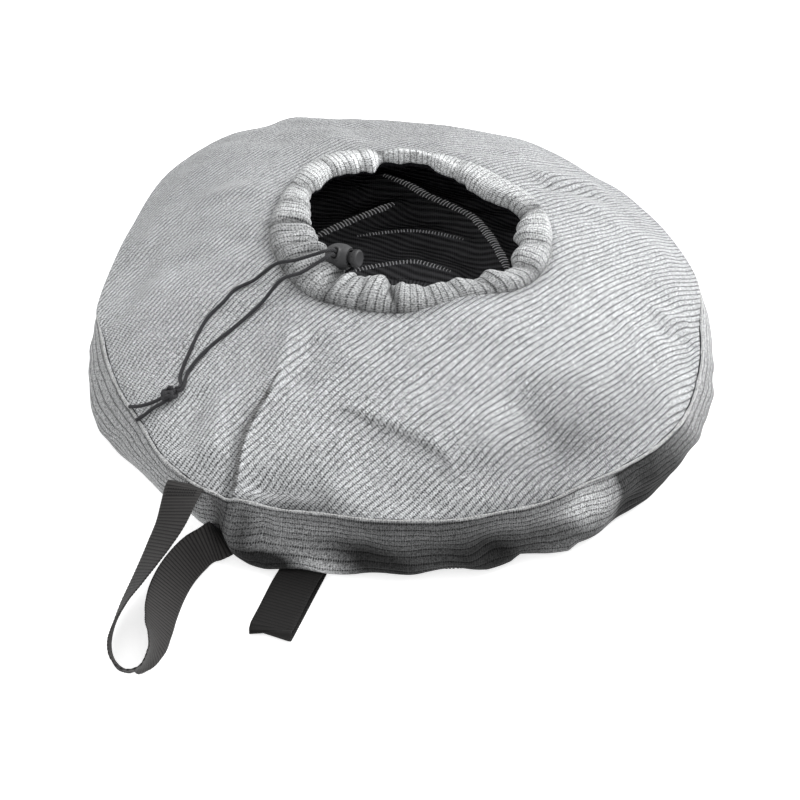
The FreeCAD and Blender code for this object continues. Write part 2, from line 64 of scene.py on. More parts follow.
# Radii of the collar's two edges about its own centre, every 15 degrees.
COLLAR_CENTRE = (8.0, 2.0)
COLLAR_INNER_RADII = [107, 106.6, 92.4, 89.2, 95.2, 104.7, 115.5, 109,
                      111.5, 115.4, 107, 98.4, 88.2, 85.7, 81.1, 83.8,
                      82.5, 77.3, 85.4, 86.7, 87.6, 101.2, 110, 106.8]
COLLAR_OUTER_RADII = [138.9, 136.4, 124.1, 123, 120.5, 120.5, 123.3, 130.8,
                      142.1, 143.7, 136.4, 134.9, 133.3, 132.8, 133.9, 134.3,
                      130.2, 125.8, 122.7, 119.8, 120.5, 131.8, 141.2, 141.6]


# ------------------------------------------------------------------ curves and fields
def outline(radii, count):
    """Radius as a function of angle, from the first harmonics of evenly spaced radii."""
    radii = np.array(radii, float)
    waves = []
    for k in range(count + 1):
        phase = TAU * k * np.arange(len(radii)) / len(radii)
        scale = (1 if k == 0 else 2) / len(radii)
        waves.append((scale * (radii * np.cos(phase)).sum(), scale * (radii * np.sin(phase)).sum()))

    def radius(angle):
        total = np.zeros_like(angle)
        for k, (cosine, sine) in enumerate(waves):
            total = total + cosine * np.cos(k * angle) + sine * np.sin(k * angle)
        return total

    return radius


rim_base = outline(RIM_RADII, 11)
collar_inner = outline(COLLAR_INNER_RADII, 10)
collar_outer = outline(COLLAR_OUTER_RADII, 8)


def wrap(angle):
    return (angle + math.pi) % TAU - math.pi


def to_degrees(angle):
    """Degrees between -180 and 180."""
    return np.degrees(wrap(angle))


def bump(value, centre, width):
    return np.exp(-((value - centre) / width) ** 2)


def ease(value, start, end):
    """Smooth step from 0 at start to 1 at end."""
    t = np.clip((value - start) / (end - start), 0, 1)
    return t * t * (3 - 2 * t)


def fade(value, start, end):
    return 1 - ease(value, start, end)


def plateau(value, rise_start, rise_end, fall_start, fall_end):
    return ease(value, rise_start, rise_end) * fade(value, fall_start, fall_end)


def table_at(value, table, column=1):
    """Interpolate one column of a table whose first column is the position."""
    columns = np.array(table, float).T
    return np.interp(value, columns[0], columns[column])


def around(count, start=-math.pi):
    """Evenly spaced angles of a full turn."""
    return np.linspace(start, start + TAU, count, endpoint=False)


def grid(first, second):
    return np.meshgrid(first, second, indexing="ij")


def polar(radius, angle, z, centre=(0, 0)):
    x = centre[0] + radius * np.cos(angle)
    y = centre[1] + radius * np.sin(angle)
    return np.stack(np.broadcast_arrays(x, y, z), -1)


def unit(vectors):
    return vectors / np.linalg.norm(vectors, axis=-1)[..., None]


def rim(angle):
    """Rim radius, with a small bulge and hollow at the back."""
    degrees = to_degrees(angle)
    return rim_base(angle) + 7.0 * bump(degrees, 111.5, 3.6) - 4.0 * bump(degrees, 103.5, 3.6)


def wave_noise(wavelength, count, seed):
    """Smooth noise over a plane from random waves of about one wavelength."""
    random = np.random.RandomState(seed)
    waves = unit(random.normal(size=(count, 2)))
    waves = waves * (TAU / wavelength) * random.uniform(0.6, 1.5, (count, 1))
    phases = random.uniform(0, TAU, count)
    heights = random.uniform(0.5, 1.0, count)
    heights /= math.sqrt((heights ** 2).sum() / 2)

    def noise(x, y):
        return sum(height * np.sin(wave[0] * x + wave[1] * y + phase)
                   for wave, phase, height in zip(waves, phases, heights))

    return noise


def polyline_field(x, y, points):
    """Distance to a polyline, signed distance (left positive), and 0..1 along it."""
    nearest = np.full(x.shape, 1e9)
    signed = np.zeros(x.shape)
    along = np.zeros(x.shape)
    points = np.array(points, float)
    lengths = [np.linalg.norm(b - a) for a, b in zip(points[:-1], points[1:])]
    total, done = sum(lengths), 0
    for start, end, length in zip(points[:-1], points[1:], lengths):
        heading = (end - start) / length
        dx, dy = x - start[0], y - start[1]
        reach = np.clip(dx * heading[0] + dy * heading[1], 0, length)
        distance = np.hypot(dx - reach * heading[0], dy - reach * heading[1])
        side = np.sign(heading[0] * dy - heading[1] * dx)
        closer = distance < nearest
        nearest = np.where(closer, distance, nearest)
        signed = np.where(closer, side * distance, signed)
        along = np.where(closer, (done + reach) / total, along)
        done += length
    return nearest, signed, along


def rib_relief(count):
    """Rounded rib height about its mean; grooves lie at whole rib counts."""
    return np.abs(np.sin(math.pi * (count - np.floor(count)))) ** 0.7 - 0.55


# ------------------------------------------------------------------ ribs of the outer panel
# x, y, rib direction in degrees, rib spacing
RIB_SAMPLES = np.array([
    (201, 37, 48, 4.6), (197, -15, 45, 4.5), (262, -140, 45, 4.7), (221, -187, 44, 4.8),
    (-207, -46, 49, 5.0), (-243, -68, 54, 5.3), (-204, -86, 50, 4.9), (-129, -113, 38, 5.6),
    (-240, -107, 48, 5.5), (-57, -157, 36, 5.2), (-100, -190, 40, 5.8), (-95, -175, 40, 5.8),
    (12, -161, 41, 5.2), (-57, -187, 40, 5.6), (-162, -169, 50, 4.8), (-161, -199, 48, 4.6),
    (-126, -207, 42, 5.6), (80, -213, 43, 5.1), (115, -209, 41, 5.2), (-159, -228, 47, 5.0),
    (46, -242, 44, 5.3), (80, -239, 45, 5.1), (114, -236, 41, 5.1), (148, -231, 40, 5.0),
    (-56, -268, 39, 5.7), (-22, -269, 41, 5.7), (12, -268, 44, 5.4), (113, -262, 41, 5.0),
    (147, -257, 40, 5.0), (-55, -293, 41, 5.7), (-22, -293, 40, 5.6), (12, -293, 42, 5.4),
    (45, -292, 44, 5.3), (79, -289, 48, 4.9), (-195, -220, 46, 4.9), (0, 200, 44, 5.0),
    (-150, 200, 47, 5.0), (150, 200, 46, 4.9), (-250, 50, 50, 5.1), (250, 100, 47, 4.7),
    (0, 285, 44, 5.0), (-220, 180, 48, 5.0), (290, 0, 46, 4.7), (-290, -40, 51, 5.2),
    (0, 130, 44, 5.0), (-130, 60, 47, 5.1), (130, 60, 46, 4.7), (-60, -130, 37, 5.3)], float)
FIT_SCALE = 300
FIT_DEGREE = 5
RUN_ANGLE = 0.77  # plan direction along which stitches are counted, radians
RUN_STRETCH = 1.08


def polynomial_terms(x, y):
    """Terms of the rib-count polynomial and their slopes in x and y."""
    x, y = x / FIT_SCALE, y / FIT_SCALE
    terms, slopes_x, slopes_y = [], [], []
    for i in range(FIT_DEGREE + 1):
        for j in range(FIT_DEGREE + 1 - i):
            if i + j == 0:
                continue
            terms.append(x ** i * y ** j)
            slopes_x.append((i * x ** (i - 1) if i else 0 * x) * y ** j / FIT_SCALE)
            slopes_y.append(x ** i * (j * y ** (j - 1) if j else 0 * y) / FIT_SCALE)
    return np.array(terms), np.array(slopes_x), np.array(slopes_y)


def fit_ribs():
    """Least-squares coefficients whose gradient matches the sampled ribs."""
    x, y, direction, spacing = RIB_SAMPLES.T
    terms, slopes_x, slopes_y = polynomial_terms(x, y)
    slopes = np.vstack([slopes_x.T, slopes_y.T])
    direction = np.radians(direction)
    gradient = np.concatenate([-np.sin(direction) / spacing, np.cos(direction) / spacing])
    damping = 1e-9 * np.eye(len(terms))
    return np.linalg.solve(slopes.T @ slopes + damping, slopes.T @ gradient)


RIB_COEFFICIENTS = fit_ribs()
rib_wobble_wide = wave_noise(120, 10, 5)
rib_wobble_fine = wave_noise(45, 10, 6)


def rib_fields(x, y):
    """Rib count and distance along the ribs for plan points of the outer panel."""
    terms, _, _ = polynomial_terms(x.ravel(), y.ravel())
    ribs = (RIB_COEFFICIENTS @ terms).reshape(x.shape)
    ribs = ribs + 0.22 * rib_wobble_wide(x, y) + 0.05 * rib_wobble_fine(x, y)
    run = (x * math.cos(RUN_ANGLE) + y * math.sin(RUN_ANGLE)) * RUN_STRETCH
    return ribs, run


# ------------------------------------------------------------------ folds of the outer panel
# A step across the front: plan points, height, width.
STEP_POINTS = [(-56, -208), (-42, -218), (-23, -226), (-1, -235), (21, -245), (40, -255),
               (46, -268)]
STEP_HEIGHT, STEP_WIDTH = 2.0, 4.2
STEP_CREASE = [(-50, -213), (-23, -226.5), (-1, -235.5), (21, -245.5), (38, -255)]
FOLD_GAIN = 1.3
# Soft ridges and hollows: plan points, height, width.
FOLDS = [
    (STEP_CREASE, -1.0, 2.6),
    ([(-30, -214), (10, -232), (44, -248)], 3.0, 17),
    ([(-143, -270), (-112, -275), (-86, -282), (-58, -292)], -6.0, 15),
    ([(98, -178), (116, -209), (134, -229), (160, -254)], -5.5, 20),
    ([(60, -200), (80, -235), (100, -262)], 3.0, 20),
    ([(-93, -122), (-101, -140), (-110, -172), (-124, -202)], 4.5, 12),
    ([(-70, -135), (-78, -170), (-90, -205)], -3.0, 13),
    ([(131, 107), (174, 130), (215, 160)], 3.5, 11),
    ([(128, 84), (170, 104), (222, 128)], -4.0, 10),
    ([(137, 53), (190, 77), (240, 100)], 2.5, 12),
    ([(128, 136), (160, 168), (200, 206)], -3.5, 12),
    ([(105, 150), (125, 190), (150, 232)], 3.0, 14),
    ([(236, -62), (262, -66), (292, -56)], 2.6, 8),
    ([(236, -84), (262, -86), (292, -76)], -2.6, 9),
    ([(-180, -165), (-190, -202), (-199, -240)], -4.0, 13),
    ([(-160, -175), (-168, -215), (-172, -252)], 3.0, 11),
    ([(-212, -150), (-222, -180), (-226, -210)], 3.0, 12),
    ([(-128, 10), (-170, -4), (-230, -10)], -3.0, 18),
    ([(-120, 70), (-165, 96), (-220, 110)], 2.5, 20),
    ([(-250, 60), (-262, 10), (-262, -60)], -3.0, 14),
    ([(-20, 150), (-40, 200), (-50, 260)], -2.5, 18),
    ([(40, 140), (50, 190), (70, 260)], 2.2, 20),
]
# Plan line of the panel's closing seam, from the collar to the rim.
SEAM = [(-92, -128), (-99, -150), (-107, -172), (-115, -188), (-124, -202), (-133, -217),
        (-140, -237), (-144, -259), (-147, -276)]
fold_noise_wide = wave_noise(150, 12, 21)
fold_noise_fine = wave_noise(60, 12, 22)


def folds(x, y):
    distance, signed, along = polyline_field(x, y, STEP_POINTS)
    z = (STEP_HEIGHT * plateau(along, 0, 0.35, 0.85, 1.0) * bump(distance, 0, 2.2 * STEP_WIDTH)
         * np.tanh(signed / STEP_WIDTH * 1.6))
    for points, height, width in FOLDS:
        distance, _, along = polyline_field(x, y, points)
        taper = plateau(along, 0, 0.25, 0.75, 1.0)
        z += FOLD_GAIN * height * taper * bump(distance, 0, width)
    z += 1.5 * fold_noise_wide(x, y) + 0.55 * fold_noise_fine(x, y)
    return z


# ------------------------------------------------------------------ mesh helpers
def link_object(name, mesh):
    made = bpy.data.objects.new(name, mesh)
    bpy.context.scene.collection.objects.link(made)
    return made


def grid_mesh(name, points, close_u=False, close_v=False, attributes=None, flip=False):
    """A smooth sheet from points[u, v]; attributes are broadcast to its grid."""
    nu, nv = points.shape[:2]
    index = np.arange(nu * nv).reshape(nu, nv)
    if close_u:
        index = np.concatenate([index, index[:1]], 0)
    if close_v:
        index = np.concatenate([index, index[:, :1]], 1)
    quads = np.stack([index[:-1, :-1], index[1:, :-1], index[1:, 1:], index[:-1, 1:]], -1)
    quads = quads.reshape(-1, 4)
    if flip:
        quads = quads[:, ::-1]
    mesh = bpy.data.meshes.new(name)
    mesh.vertices.add(nu * nv)
    mesh.vertices.foreach_set("co", (points.reshape(-1, 3) * MM).astype(np.float32).ravel())
    mesh.loops.add(quads.size)
    mesh.loops.foreach_set("vertex_index", quads.ravel().astype(np.int32))
    mesh.polygons.add(len(quads))
    mesh.polygons.foreach_set("loop_start", np.arange(0, quads.size, 4, dtype=np.int32))
    mesh.polygons.foreach_set("loop_total", np.full(len(quads), 4, dtype=np.int32))
    mesh.polygons.foreach_set("use_smooth", np.ones(len(quads), dtype=bool))
    mesh.update(calc_edges=True)
    mesh.validate()
    for key, values in (attributes or {}).items():
        values = np.ascontiguousarray(np.broadcast_to(values, (nu, nv)), dtype=np.float32)
        mesh.attributes.new(key, "FLOAT", "POINT").data.foreach_set("value", values.ravel())
    return link_object(name, mesh)


def raw_mesh(name, vertices, faces, shade_smooth=True):
    mesh = bpy.data.meshes.new(name)
    mesh.from_pydata([tuple(float(c) * MM for c in vertex) for vertex in vertices], [], faces)
    mesh.polygons.foreach_set("use_smooth", [shade_smooth] * len(mesh.polygons))
    mesh.update()
    return link_object(name, mesh)


def add_end_faces(target, faces):
    """Add flat-shaded faces, given as vertex indices, and turn all normals outward."""
    bm = bmesh.new()
    bm.from_mesh(target.data)
    bm.verts.ensure_lookup_table()
    for face in faces:
        bm.faces.new([bm.verts[i] for i in face]).smooth = False
    bmesh.ops.recalc_face_normals(bm, faces=bm.faces)
    bm.to_mesh(target.data)
    bm.free()


def catmull(points, per):
    """Open Catmull-Rom curve with `per` points to each span."""
    points = np.array(points, float)
    padded = [2 * points[0] - points[1], *points, 2 * points[-1] - points[-2]]
    curve = []
    for p0, p1, p2, p3 in zip(padded, padded[1:], padded[2:], padded[3:]):
        for k in range(per):
            t = k / per
            curve.append(0.5 * ((2 * p1) + (p2 - p0) * t
                                + (2 * p0 - 5 * p1 + 4 * p2 - p3) * t * t
                                + (3 * p1 - p0 - 3 * p2 + p3) * t ** 3))
    curve.append(points[-1])
    return np.array(curve)


def arc_length(path):
    return np.concatenate([[0], np.cumsum(np.linalg.norm(np.diff(path, axis=0), axis=1))])


def at_length(length, lengths, values):
    """Rows of values interpolated at one or several lengths."""
    return np.stack([np.interp(length, lengths, column) for column in values.T], -1)


def frames(path, closed=False):
    """Two normals carried along a path without twist."""
    if closed:
        tangents = unit(np.roll(path, -1, 0) - np.roll(path, 1, 0))
    else:
        tangents = unit(np.gradient(path, axis=0))
    normals = np.zeros((len(path), 3))
    reference = UP if abs(tangents[0][2]) < 0.9 else np.array([1.0, 0, 0])
    normals[0] = unit(np.cross(tangents[0], reference))
    for i in range(1, len(path)):
        normals[i] = unit(normals[i - 1] - tangents[i] * np.dot(normals[i - 1], tangents[i]))
    return normals, np.cross(tangents, normals)


CORD_SIDES = 14


def cord(name, path, radius, closed=False):
    """Round cord with 'rib' round it and 'run' along it, for the braid."""
    path = np.array(path, float)
    normals, binormals = frames(path, closed)
    angles = around(CORD_SIDES, 0)
    radii = np.broadcast_to(radius, len(path))[:, None, None]
    points = path[:, None, :] + radii * (np.cos(angles)[None, :, None] * normals[:, None, :]
                                         + np.sin(angles)[None, :, None] * binormals[:, None, :])
    made = grid_mesh(name, points, close_u=closed, close_v=True,
                     attributes={"rib": angles / TAU, "run": arc_length(path)[:, None]})
    if not closed:
        first = list(range(CORD_SIDES))
        last = [(len(path) - 1) * CORD_SIDES + k for k in first]
        add_end_faces(made, [first, last[::-1]])
    return made


def add_thread(vertices, faces, path, radii, sides, capped=False):
    """Append one thin tube to vertex and face lists."""
    base = len(vertices)
    for point, normal, binormal, radius in zip(path, *frames(path), radii):
        for side in range(sides):
            angle = TAU * side / sides
            vertices.append(point + radius * (math.cos(angle) * normal
                                              + math.sin(angle) * binormal))
    for k in range(len(path) - 1):
        low, high = base + k * sides, base + (k + 1) * sides
        for side in range(sides):
            after = (side + 1) % sides
            faces.append((low + side, low + after, high + after, high + side))
    if capped:
        last = base + (len(path) - 1) * sides
        faces.append(tuple(base + side for side in range(sides))[::-1])
        faces.append(tuple(last + side for side in range(sides)))


def dashes(name, path, step, length, radius, material, lift=0.0, normal=UP, arch=0.5,
           jitter=0.0):
    """Separate stitches along a path: short threads arched along the normal."""
    path = np.array(path, float)
    lengths = arc_length(path)
    count = int(lengths[-1] / step)
    random = np.random.RandomState(len(path) + count)
    across = np.linspace(-1, 1, 6)
    radii = radius * np.array([0.35, 1, 1, 1, 1, 0.35])
    vertices, faces = [], []
    for i in range(count):
        start = (i + 0.5) * step - length / 2 + random.uniform(-1, 1) * jitter
        points = at_length(np.linspace(start, start + length, 6), lengths, path)
        points = points + np.array(normal) * (lift + arch * (1 - across ** 2))[:, None]
        add_thread(vertices, faces, points, radii, sides=6, capped=True)
    return paint(raw_mesh(name, vertices, faces), material)


def join(name, parts):
    bpy.ops.object.select_all(action="DESELECT")
    for part in parts:
        part.select_set(True)
    bpy.context.view_layer.objects.active = parts[0]
    bpy.ops.object.join()
    parts[0].name = name
    parts[0].data.name = name
    return parts[0]


def paint(target, material):
    target.data.materials.clear()
    target.data.materials.append(material)
    return target


def declare(replaced):
    if replaced:
        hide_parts(*replaced)


def ride(target, part, slot, *replaced):
    """Carry a piece with one part and hide the CAD pieces it replaces; the slot is not used."""
    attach(target, part)
    declare(replaced)


def blend(target, first, second, span, slot, *replaced):
    """Bake a piece's transform into its mesh and hide the CAD pieces it replaces; the two parts and
    the span (start and end in metres) are not used.
    """
    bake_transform(target)
    declare(replaced)


# ------------------------------------------------------------------ materials
class Shader:
    """Writes one material's node tree round a Principled BSDF."""

    def __init__(self, name):
        self.material = bpy.data.materials.new(name)
        self.material.use_nodes = True
        self.tree = self.material.node_tree
        self.tree.nodes.clear()
        output = self.node("OutputMaterial")
        self.bsdf = self.node("BsdfPrincipled")
        self.feed(output.inputs[0], self.bsdf.outputs[0])

    def node(self, kind, inputs=None, **settings):
        made = self.tree.nodes.new("ShaderNode" + kind)
        for key, value in settings.items():
            setattr(made, key, value)
        for key, value in (inputs or {}).items():
            self.feed(made.inputs[key], value)
        return made

    def feed(self, socket, value):
        """Link a socket, or set a number or colour on it."""
        if isinstance(value, bpy.types.NodeSocket):
            self.tree.links.new(value, socket)
        else:
            socket.default_value = (*value, 1) if socket.type == "RGBA" else value

    def attribute(self, name):
        return self.node("Attribute", attribute_name=name).outputs["Fac"]

    def math(self, operation, *values):
        return self.node("Math", dict(enumerate(values)), operation=operation).outputs[0]

    def chain(self, operation, first, *others):
        for other in others:
            first = self.math(operation, first, other)
        return first

    def add(self, *values):
        return self.chain("ADD", *values)

    def sub(self, *values):
        return self.chain("SUBTRACT", *values)

    def mul(self, *values):
        return self.chain("MULTIPLY", *values)

    def swing(self, value, amount):
        """A 0..1 value centred on zero and scaled."""
        return self.mul(self.sub(value, 0.5), amount)

    def stripes(self, value, pitch):
        return self.math("SINE", self.mul(value, TAU / pitch))

    def smooth_range(self, value, start, end, low=0.0, high=1.0):
        inputs = {"Value": value, "From Min": start, "From Max": end,
                  "To Min": low, "To Max": high}
        made = self.node("MapRange", inputs, interpolation_type="SMOOTHSTEP")
        return made.outputs["Result"]

    def coordinates(self):
        return self.node("TexCoord").outputs["Object"]

    def noise(self, scale, detail, rough, vector=None, stretch=None):
        vector = vector or self.coordinates()
        if stretch:
            vector = self.node("Mapping", {"Scale": stretch, "Vector": vector}).outputs[0]
        inputs = {"Scale": scale, "Detail": detail, "Roughness": rough, "Vector": vector}
        return self.node("TexNoise", inputs).outputs["Fac"]

    def wave(self, scale, distortion):
        inputs = {"Scale": scale, "Distortion": distortion, "Detail": 2,
                  "Vector": self.coordinates()}
        return self.node("TexWave", inputs, bands_direction="X").outputs["Fac"]

    def mix(self, factor, first, second):
        inputs = {0: factor, 6: first, 7: second}
        made = self.node("Mix")
        made.data_type = "RGBA"
        for key, value in inputs.items():
            self.feed(made.inputs[key], value)
        return made.outputs[2]

    def colour(self, value):
        made = self.node("RGB")
        made.outputs[0].default_value = (*value, 1)
        return made.outputs[0]

    def scaled(self, colour, factor):
        inputs = {0: colour, "Scale": factor}
        return self.node("VectorMath", inputs, operation="SCALE").outputs[0]

    def bump(self, height, strength, distance):
        inputs = {"Strength": strength, "Distance": distance, "Height": height}
        return self.node("Bump", inputs).outputs[0]

    def finish(self, colour, rough, normal=None, specular=0.2, sheen=0.0):
        values = {"Base Color": colour, "Roughness": rough, "Specular IOR Level": specular}
        if sheen:
            values.update({"Sheen Weight": sheen, "Sheen Roughness": 0.6})
        if normal is not None:
            values["Normal"] = normal
        for key, value in values.items():
            self.feed(self.bsdf.inputs[key], value)
        return self.material


COURSE_PITCH = 2.1  # distance between the knit's courses
BLOTCH = 0.22  # strength of the knit's broad light and dark patches


def knit(name, colour, groove_width, groove_dark, tick):
    """Ribbed knit: dotted dark grooves at whole 'rib' values, courses across, mixed yarn."""
    s = Shader(name)
    rib, run = s.attribute("rib"), s.attribute("run")
    wobble = s.noise(scale=240, detail=2, rough=0.5)
    fraction = s.math("FRACT", s.add(rib, s.swing(wobble, amount=0.09)))
    # 0 at a groove, 0.5 in the middle of a rib
    depth = s.math("MINIMUM", fraction, s.sub(1.0, fraction))
    groove = s.smooth_range(depth, start=0.035, end=groove_width, low=1.0, high=0.0)
    run_wobble = s.mul(s.noise(scale=110, detail=2, rough=0.5), 2.2)
    wavy_run = s.add(run, run_wobble)
    dot_wave = s.stripes(wavy_run, pitch=COURSE_PITCH)
    dots = s.smooth_range(dot_wave, start=-0.7, end=0.5)
    patches = s.noise(scale=60, detail=3, rough=0.65)
    thinning = s.smooth_range(patches, start=0.30, end=0.58, low=0.66, high=1.0)
    # The groove keeps 30% of its darkness between dots.
    hole = s.mul(groove, s.add(s.mul(dots, 0.70), 0.30), thinning)
    middle_row = s.mul(s.smooth_range(depth, start=0.40, end=0.5),
                       s.smooth_range(dot_wave, start=-0.2, end=0.9))
    course = s.stripes(wavy_run, pitch=COURSE_PITCH)
    # Yarn noise is drawn out along the ribs.
    yarn_place = s.node("CombineXYZ", {0: s.mul(rib, 3.1), 1: s.mul(run, 0.62), 2: 0.0})
    yarn = s.noise(scale=1, detail=3, rough=0.8, vector=yarn_place.outputs[0])
    heather = s.noise(scale=520, detail=3, rough=0.85)
    speck = s.noise(scale=1250, detail=2, rough=0.7)
    broad = s.noise(scale=9, detail=4, rough=0.6)
    medium = s.noise(scale=38, detail=4, rough=0.7)
    tone = s.add(1.0, s.mul(course, -tick), s.mul(middle_row, -0.12),
                 s.swing(yarn, amount=2.4), s.swing(heather, amount=3.9),
                 s.swing(speck, amount=2.8), s.swing(broad, amount=BLOTCH),
                 s.swing(medium, amount=BLOTCH * 1.2))
    darkest, lightest = 0.22, 1.75
    tone = s.math("MINIMUM", s.math("MAXIMUM", tone, darkest), lightest)
    # Painted shade and light: each piece's 'shade' attribute darkens and lightens the knit and its
    # grooves.
    tone = s.mul(tone, s.attribute("shade"))
    base = s.colour(colour)
    surface = s.scaled(base, tone)
    groove_tone = 0.07
    groove_colour = s.scaled(base, s.mul(s.attribute("shade"), groove_tone))
    surface = s.mix(s.mul(hole, groove_dark), surface, groove_colour)
    # Relief: rounded ribs, then courses, yarn and heather, with the holes sunk.
    rib_height = s.mul(s.smooth_range(depth, start=0.0, end=0.24), 1.0)
    height = s.add(rib_height, s.mul(course, -0.16), s.mul(yarn, 0.6), s.mul(heather, 0.5))
    height = s.sub(height, s.mul(hole, 0.5))
    normal = s.bump(height, strength=0.75, distance=0.0007)
    return s.finish(surface, rough=0.94, normal=normal, specular=0.10, sheen=0.08)


def black_fabric(name):
    s = Shader(name)
    rows = s.wave(scale=62.5, distortion=1.5)
    heather = s.noise(scale=700, detail=3, rough=0.7)
    broad = s.noise(scale=25, detail=3, rough=0.6)
    # Brightness: base, fine rows and heather, then broad patches.
    tone = s.add(0.55, s.mul(rows, 0.5), s.mul(heather, 0.35))
    tone = s.mul(tone, s.add(0.6, s.mul(broad, 0.8)))
    normal = s.bump(s.add(rows, s.mul(heather, 0.5)), strength=0.5, distance=0.0005)
    colour = s.scaled(s.colour((0.016, 0.016, 0.018)), tone)
    return s.finish(colour, rough=0.95, normal=normal, specular=0.05)


WEB_PITCH = 3.3  # distance between the webbing's cross ribs


def webbing(name, colour):
    """Woven tape: cross ribs along 'run' with fine warp lines across 'rib'."""
    s = Shader(name)
    rib, run = s.attribute("rib"), s.attribute("run")
    fraction = s.math("FRACT", s.math("DIVIDE", run, WEB_PITCH))
    # 1 at a groove, 0 on a rib
    triangle = s.mul(s.math("ABSOLUTE", s.sub(fraction, 0.5)), 2.0)
    groove = s.smooth_range(triangle, start=0.35, end=1.0)
    warp = s.stripes(rib, pitch=1.3)
    heather = s.noise(scale=1100, detail=3, rough=0.7)
    broad = s.noise(scale=35, detail=3, rough=0.6)
    # Brightness: dark grooves, then warp, heather and patches.
    tone = s.add(s.sub(1.55, s.mul(groove, 1.35)), s.mul(warp, 0.13),
                 s.swing(heather, amount=0.9), s.swing(broad, amount=0.35))
    height = s.add(s.sub(s.mul(warp, 0.18), groove), s.mul(heather, 0.3))
    normal = s.bump(height, strength=0.6, distance=0.0005)
    colour = s.scaled(s.colour(colour), tone)
    return s.finish(colour, rough=0.75, normal=normal, specular=0.25, sheen=0.05)


def braided_cord(name):
    s = Shader(name)
    rib, run = s.attribute("rib"), s.attribute("run")
    pitch, strands = 1.9, 5
    one_way, other_way = (
        s.math("SINE", s.math(operation, s.mul(run, TAU / pitch), s.mul(rib, TAU * strands)))
        for operation in ("ADD", "SUBTRACT"))
    braid = s.math("MAXIMUM", one_way, other_way)
    heather = s.noise(scale=1500, detail=3, rough=0.7)
    # Brightness: base, braid, heather.
    tone = s.add(0.75, s.mul(braid, 0.35), s.swing(heather, amount=1.1))
    normal = s.bump(s.add(braid, s.mul(heather, 0.5)), strength=0.7, distance=0.0004)
    colour = s.scaled(s.colour((0.042, 0.042, 0.046)), tone)
    return s.finish(colour, rough=0.85, normal=normal, specular=0.2, sheen=0.1)


def plastic(name):
    """Dark grained plastic with paler streaks of wear."""
    s = Shader(name)
    grain = s.noise(scale=2600, detail=3, rough=0.6)
    streaks = s.noise(scale=220, detail=4, rough=0.7, stretch=(1, 4, 1))
    wear = s.smooth_range(streaks, start=0.58, end=0.75, low=0.0, high=0.35)
    dark, worn = (0.050, 0.050, 0.052), (0.10, 0.10, 0.105)
    colour = s.mix(wear, dark, worn)
    # Roughness varies a little with the grain.
    rough = s.add(0.42, s.mul(grain, 0.18))
    normal = s.bump(grain, strength=0.22, distance=0.0002)
    return s.finish(colour, rough=rough, normal=normal, specular=0.4)


def thread(name, colour, glow=0.0):
    s = Shader(name)
    heather = s.noise(scale=1800, detail=2, rough=0.6)
    twist = s.wave(scale=900, distortion=2)
    # Brightness: base, then heather and twist.
    tone = s.add(0.7, s.add(s.mul(heather, 0.35), s.mul(twist, 0.25)))
    normal = s.bump(twist, strength=0.4, distance=0.0002)
    # Painted light: the glow makes the thread give off light of its own, though it is no lamp.
    if glow:
        s.feed(s.bsdf.inputs["Emission Color"], (1, 1, 1))
        s.feed(s.bsdf.inputs["Emission Strength"], glow)
    colour = s.scaled(s.colour(colour), tone)
    return s.finish(colour, rough=0.85, normal=normal, specular=0.15)


def steel(name):
    s = Shader(name)
    scratches = s.noise(scale=500, detail=3, rough=0.6, stretch=(1, 1, 30))
    s.bsdf.inputs["Metallic"].default_value = 1.0
    dark, light = (0.42, 0.42, 0.43), (0.62, 0.62, 0.63)
    normal = s.bump(scratches, strength=0.15, distance=0.0001)
    return s.finish(s.mix(scratches, dark, light), rough=0.28, normal=normal)


def black_knit(name):
    s = Shader(name)
    rib, run = s.attribute("rib"), s.attribute("run")
    ribs = s.stripes(rib, pitch=1)
    courses = s.stripes(run, pitch=2.3)
    heather = s.noise(scale=800, detail=3, rough=0.7)
    broad = s.noise(scale=22, detail=3, rough=0.6)
    # Brightness: base, ribs, courses and heather, then broad patches.
    tone = s.add(0.5, s.mul(ribs, 0.34), s.mul(courses, 0.12), s.mul(heather, 0.5))
    tone = s.mul(tone, s.add(0.5, broad))
    normal = s.bump(s.add(ribs, s.mul(heather, 0.4)), strength=0.6, distance=0.0007)
    colour = s.scaled(s.colour((0.17, 0.17, 0.18)), tone)
    return s.finish(colour, rough=0.95, normal=normal, specular=0.04)


def floor_paper(name):
    """White floor with a glow that is stronger where the camera sees it directly."""
    s = Shader(name)
    mottle = s.noise(scale=3, detail=2, rough=0.5)
    darker, lighter = (0.90, 0.90, 0.90), (0.92, 0.92, 0.92)
    s.feed(s.bsdf.inputs["Emission Color"], (1, 1, 1))
    glow, camera_glow = 0.42, 0.26
    seen = s.node("LightPath").outputs["Is Camera Ray"]
    s.feed(s.bsdf.inputs["Emission Strength"], s.add(glow, s.mul(seen, camera_glow)))
    return s.finish(s.mix(mottle, darker, lighter), rough=0.9, specular=0.1)


PANEL_KNIT = knit("outer_knit", (0.52, 0.53, 0.54), groove_width=0.25, groove_dark=1.0,
                  tick=0.17)
COLLAR_KNIT = knit("collar_knit", (0.56, 0.57, 0.575), groove_width=0.15, groove_dark=0.96,
                   tick=0.12)
BAND_KNIT = knit("band_knit", (0.43, 0.435, 0.44), groove_width=0.17, groove_dark=0.97,
                 tick=0.12)
LINING = black_fabric("black_lining")
CHARCOAL_WEB = webbing("webbing_charcoal", (0.027, 0.0255, 0.025))
BLACK_WEB = webbing("webbing_black", (0.0075, 0.0070, 0.0068))
CORD = braided_cord("cord_charcoal")
PLASTIC = plastic("lock_plastic")
PALE_THREAD = thread("thread_pale", (0.62, 0.62, 0.60))
BLACK_THREAD = thread("thread_black", (0.02, 0.02, 0.021))
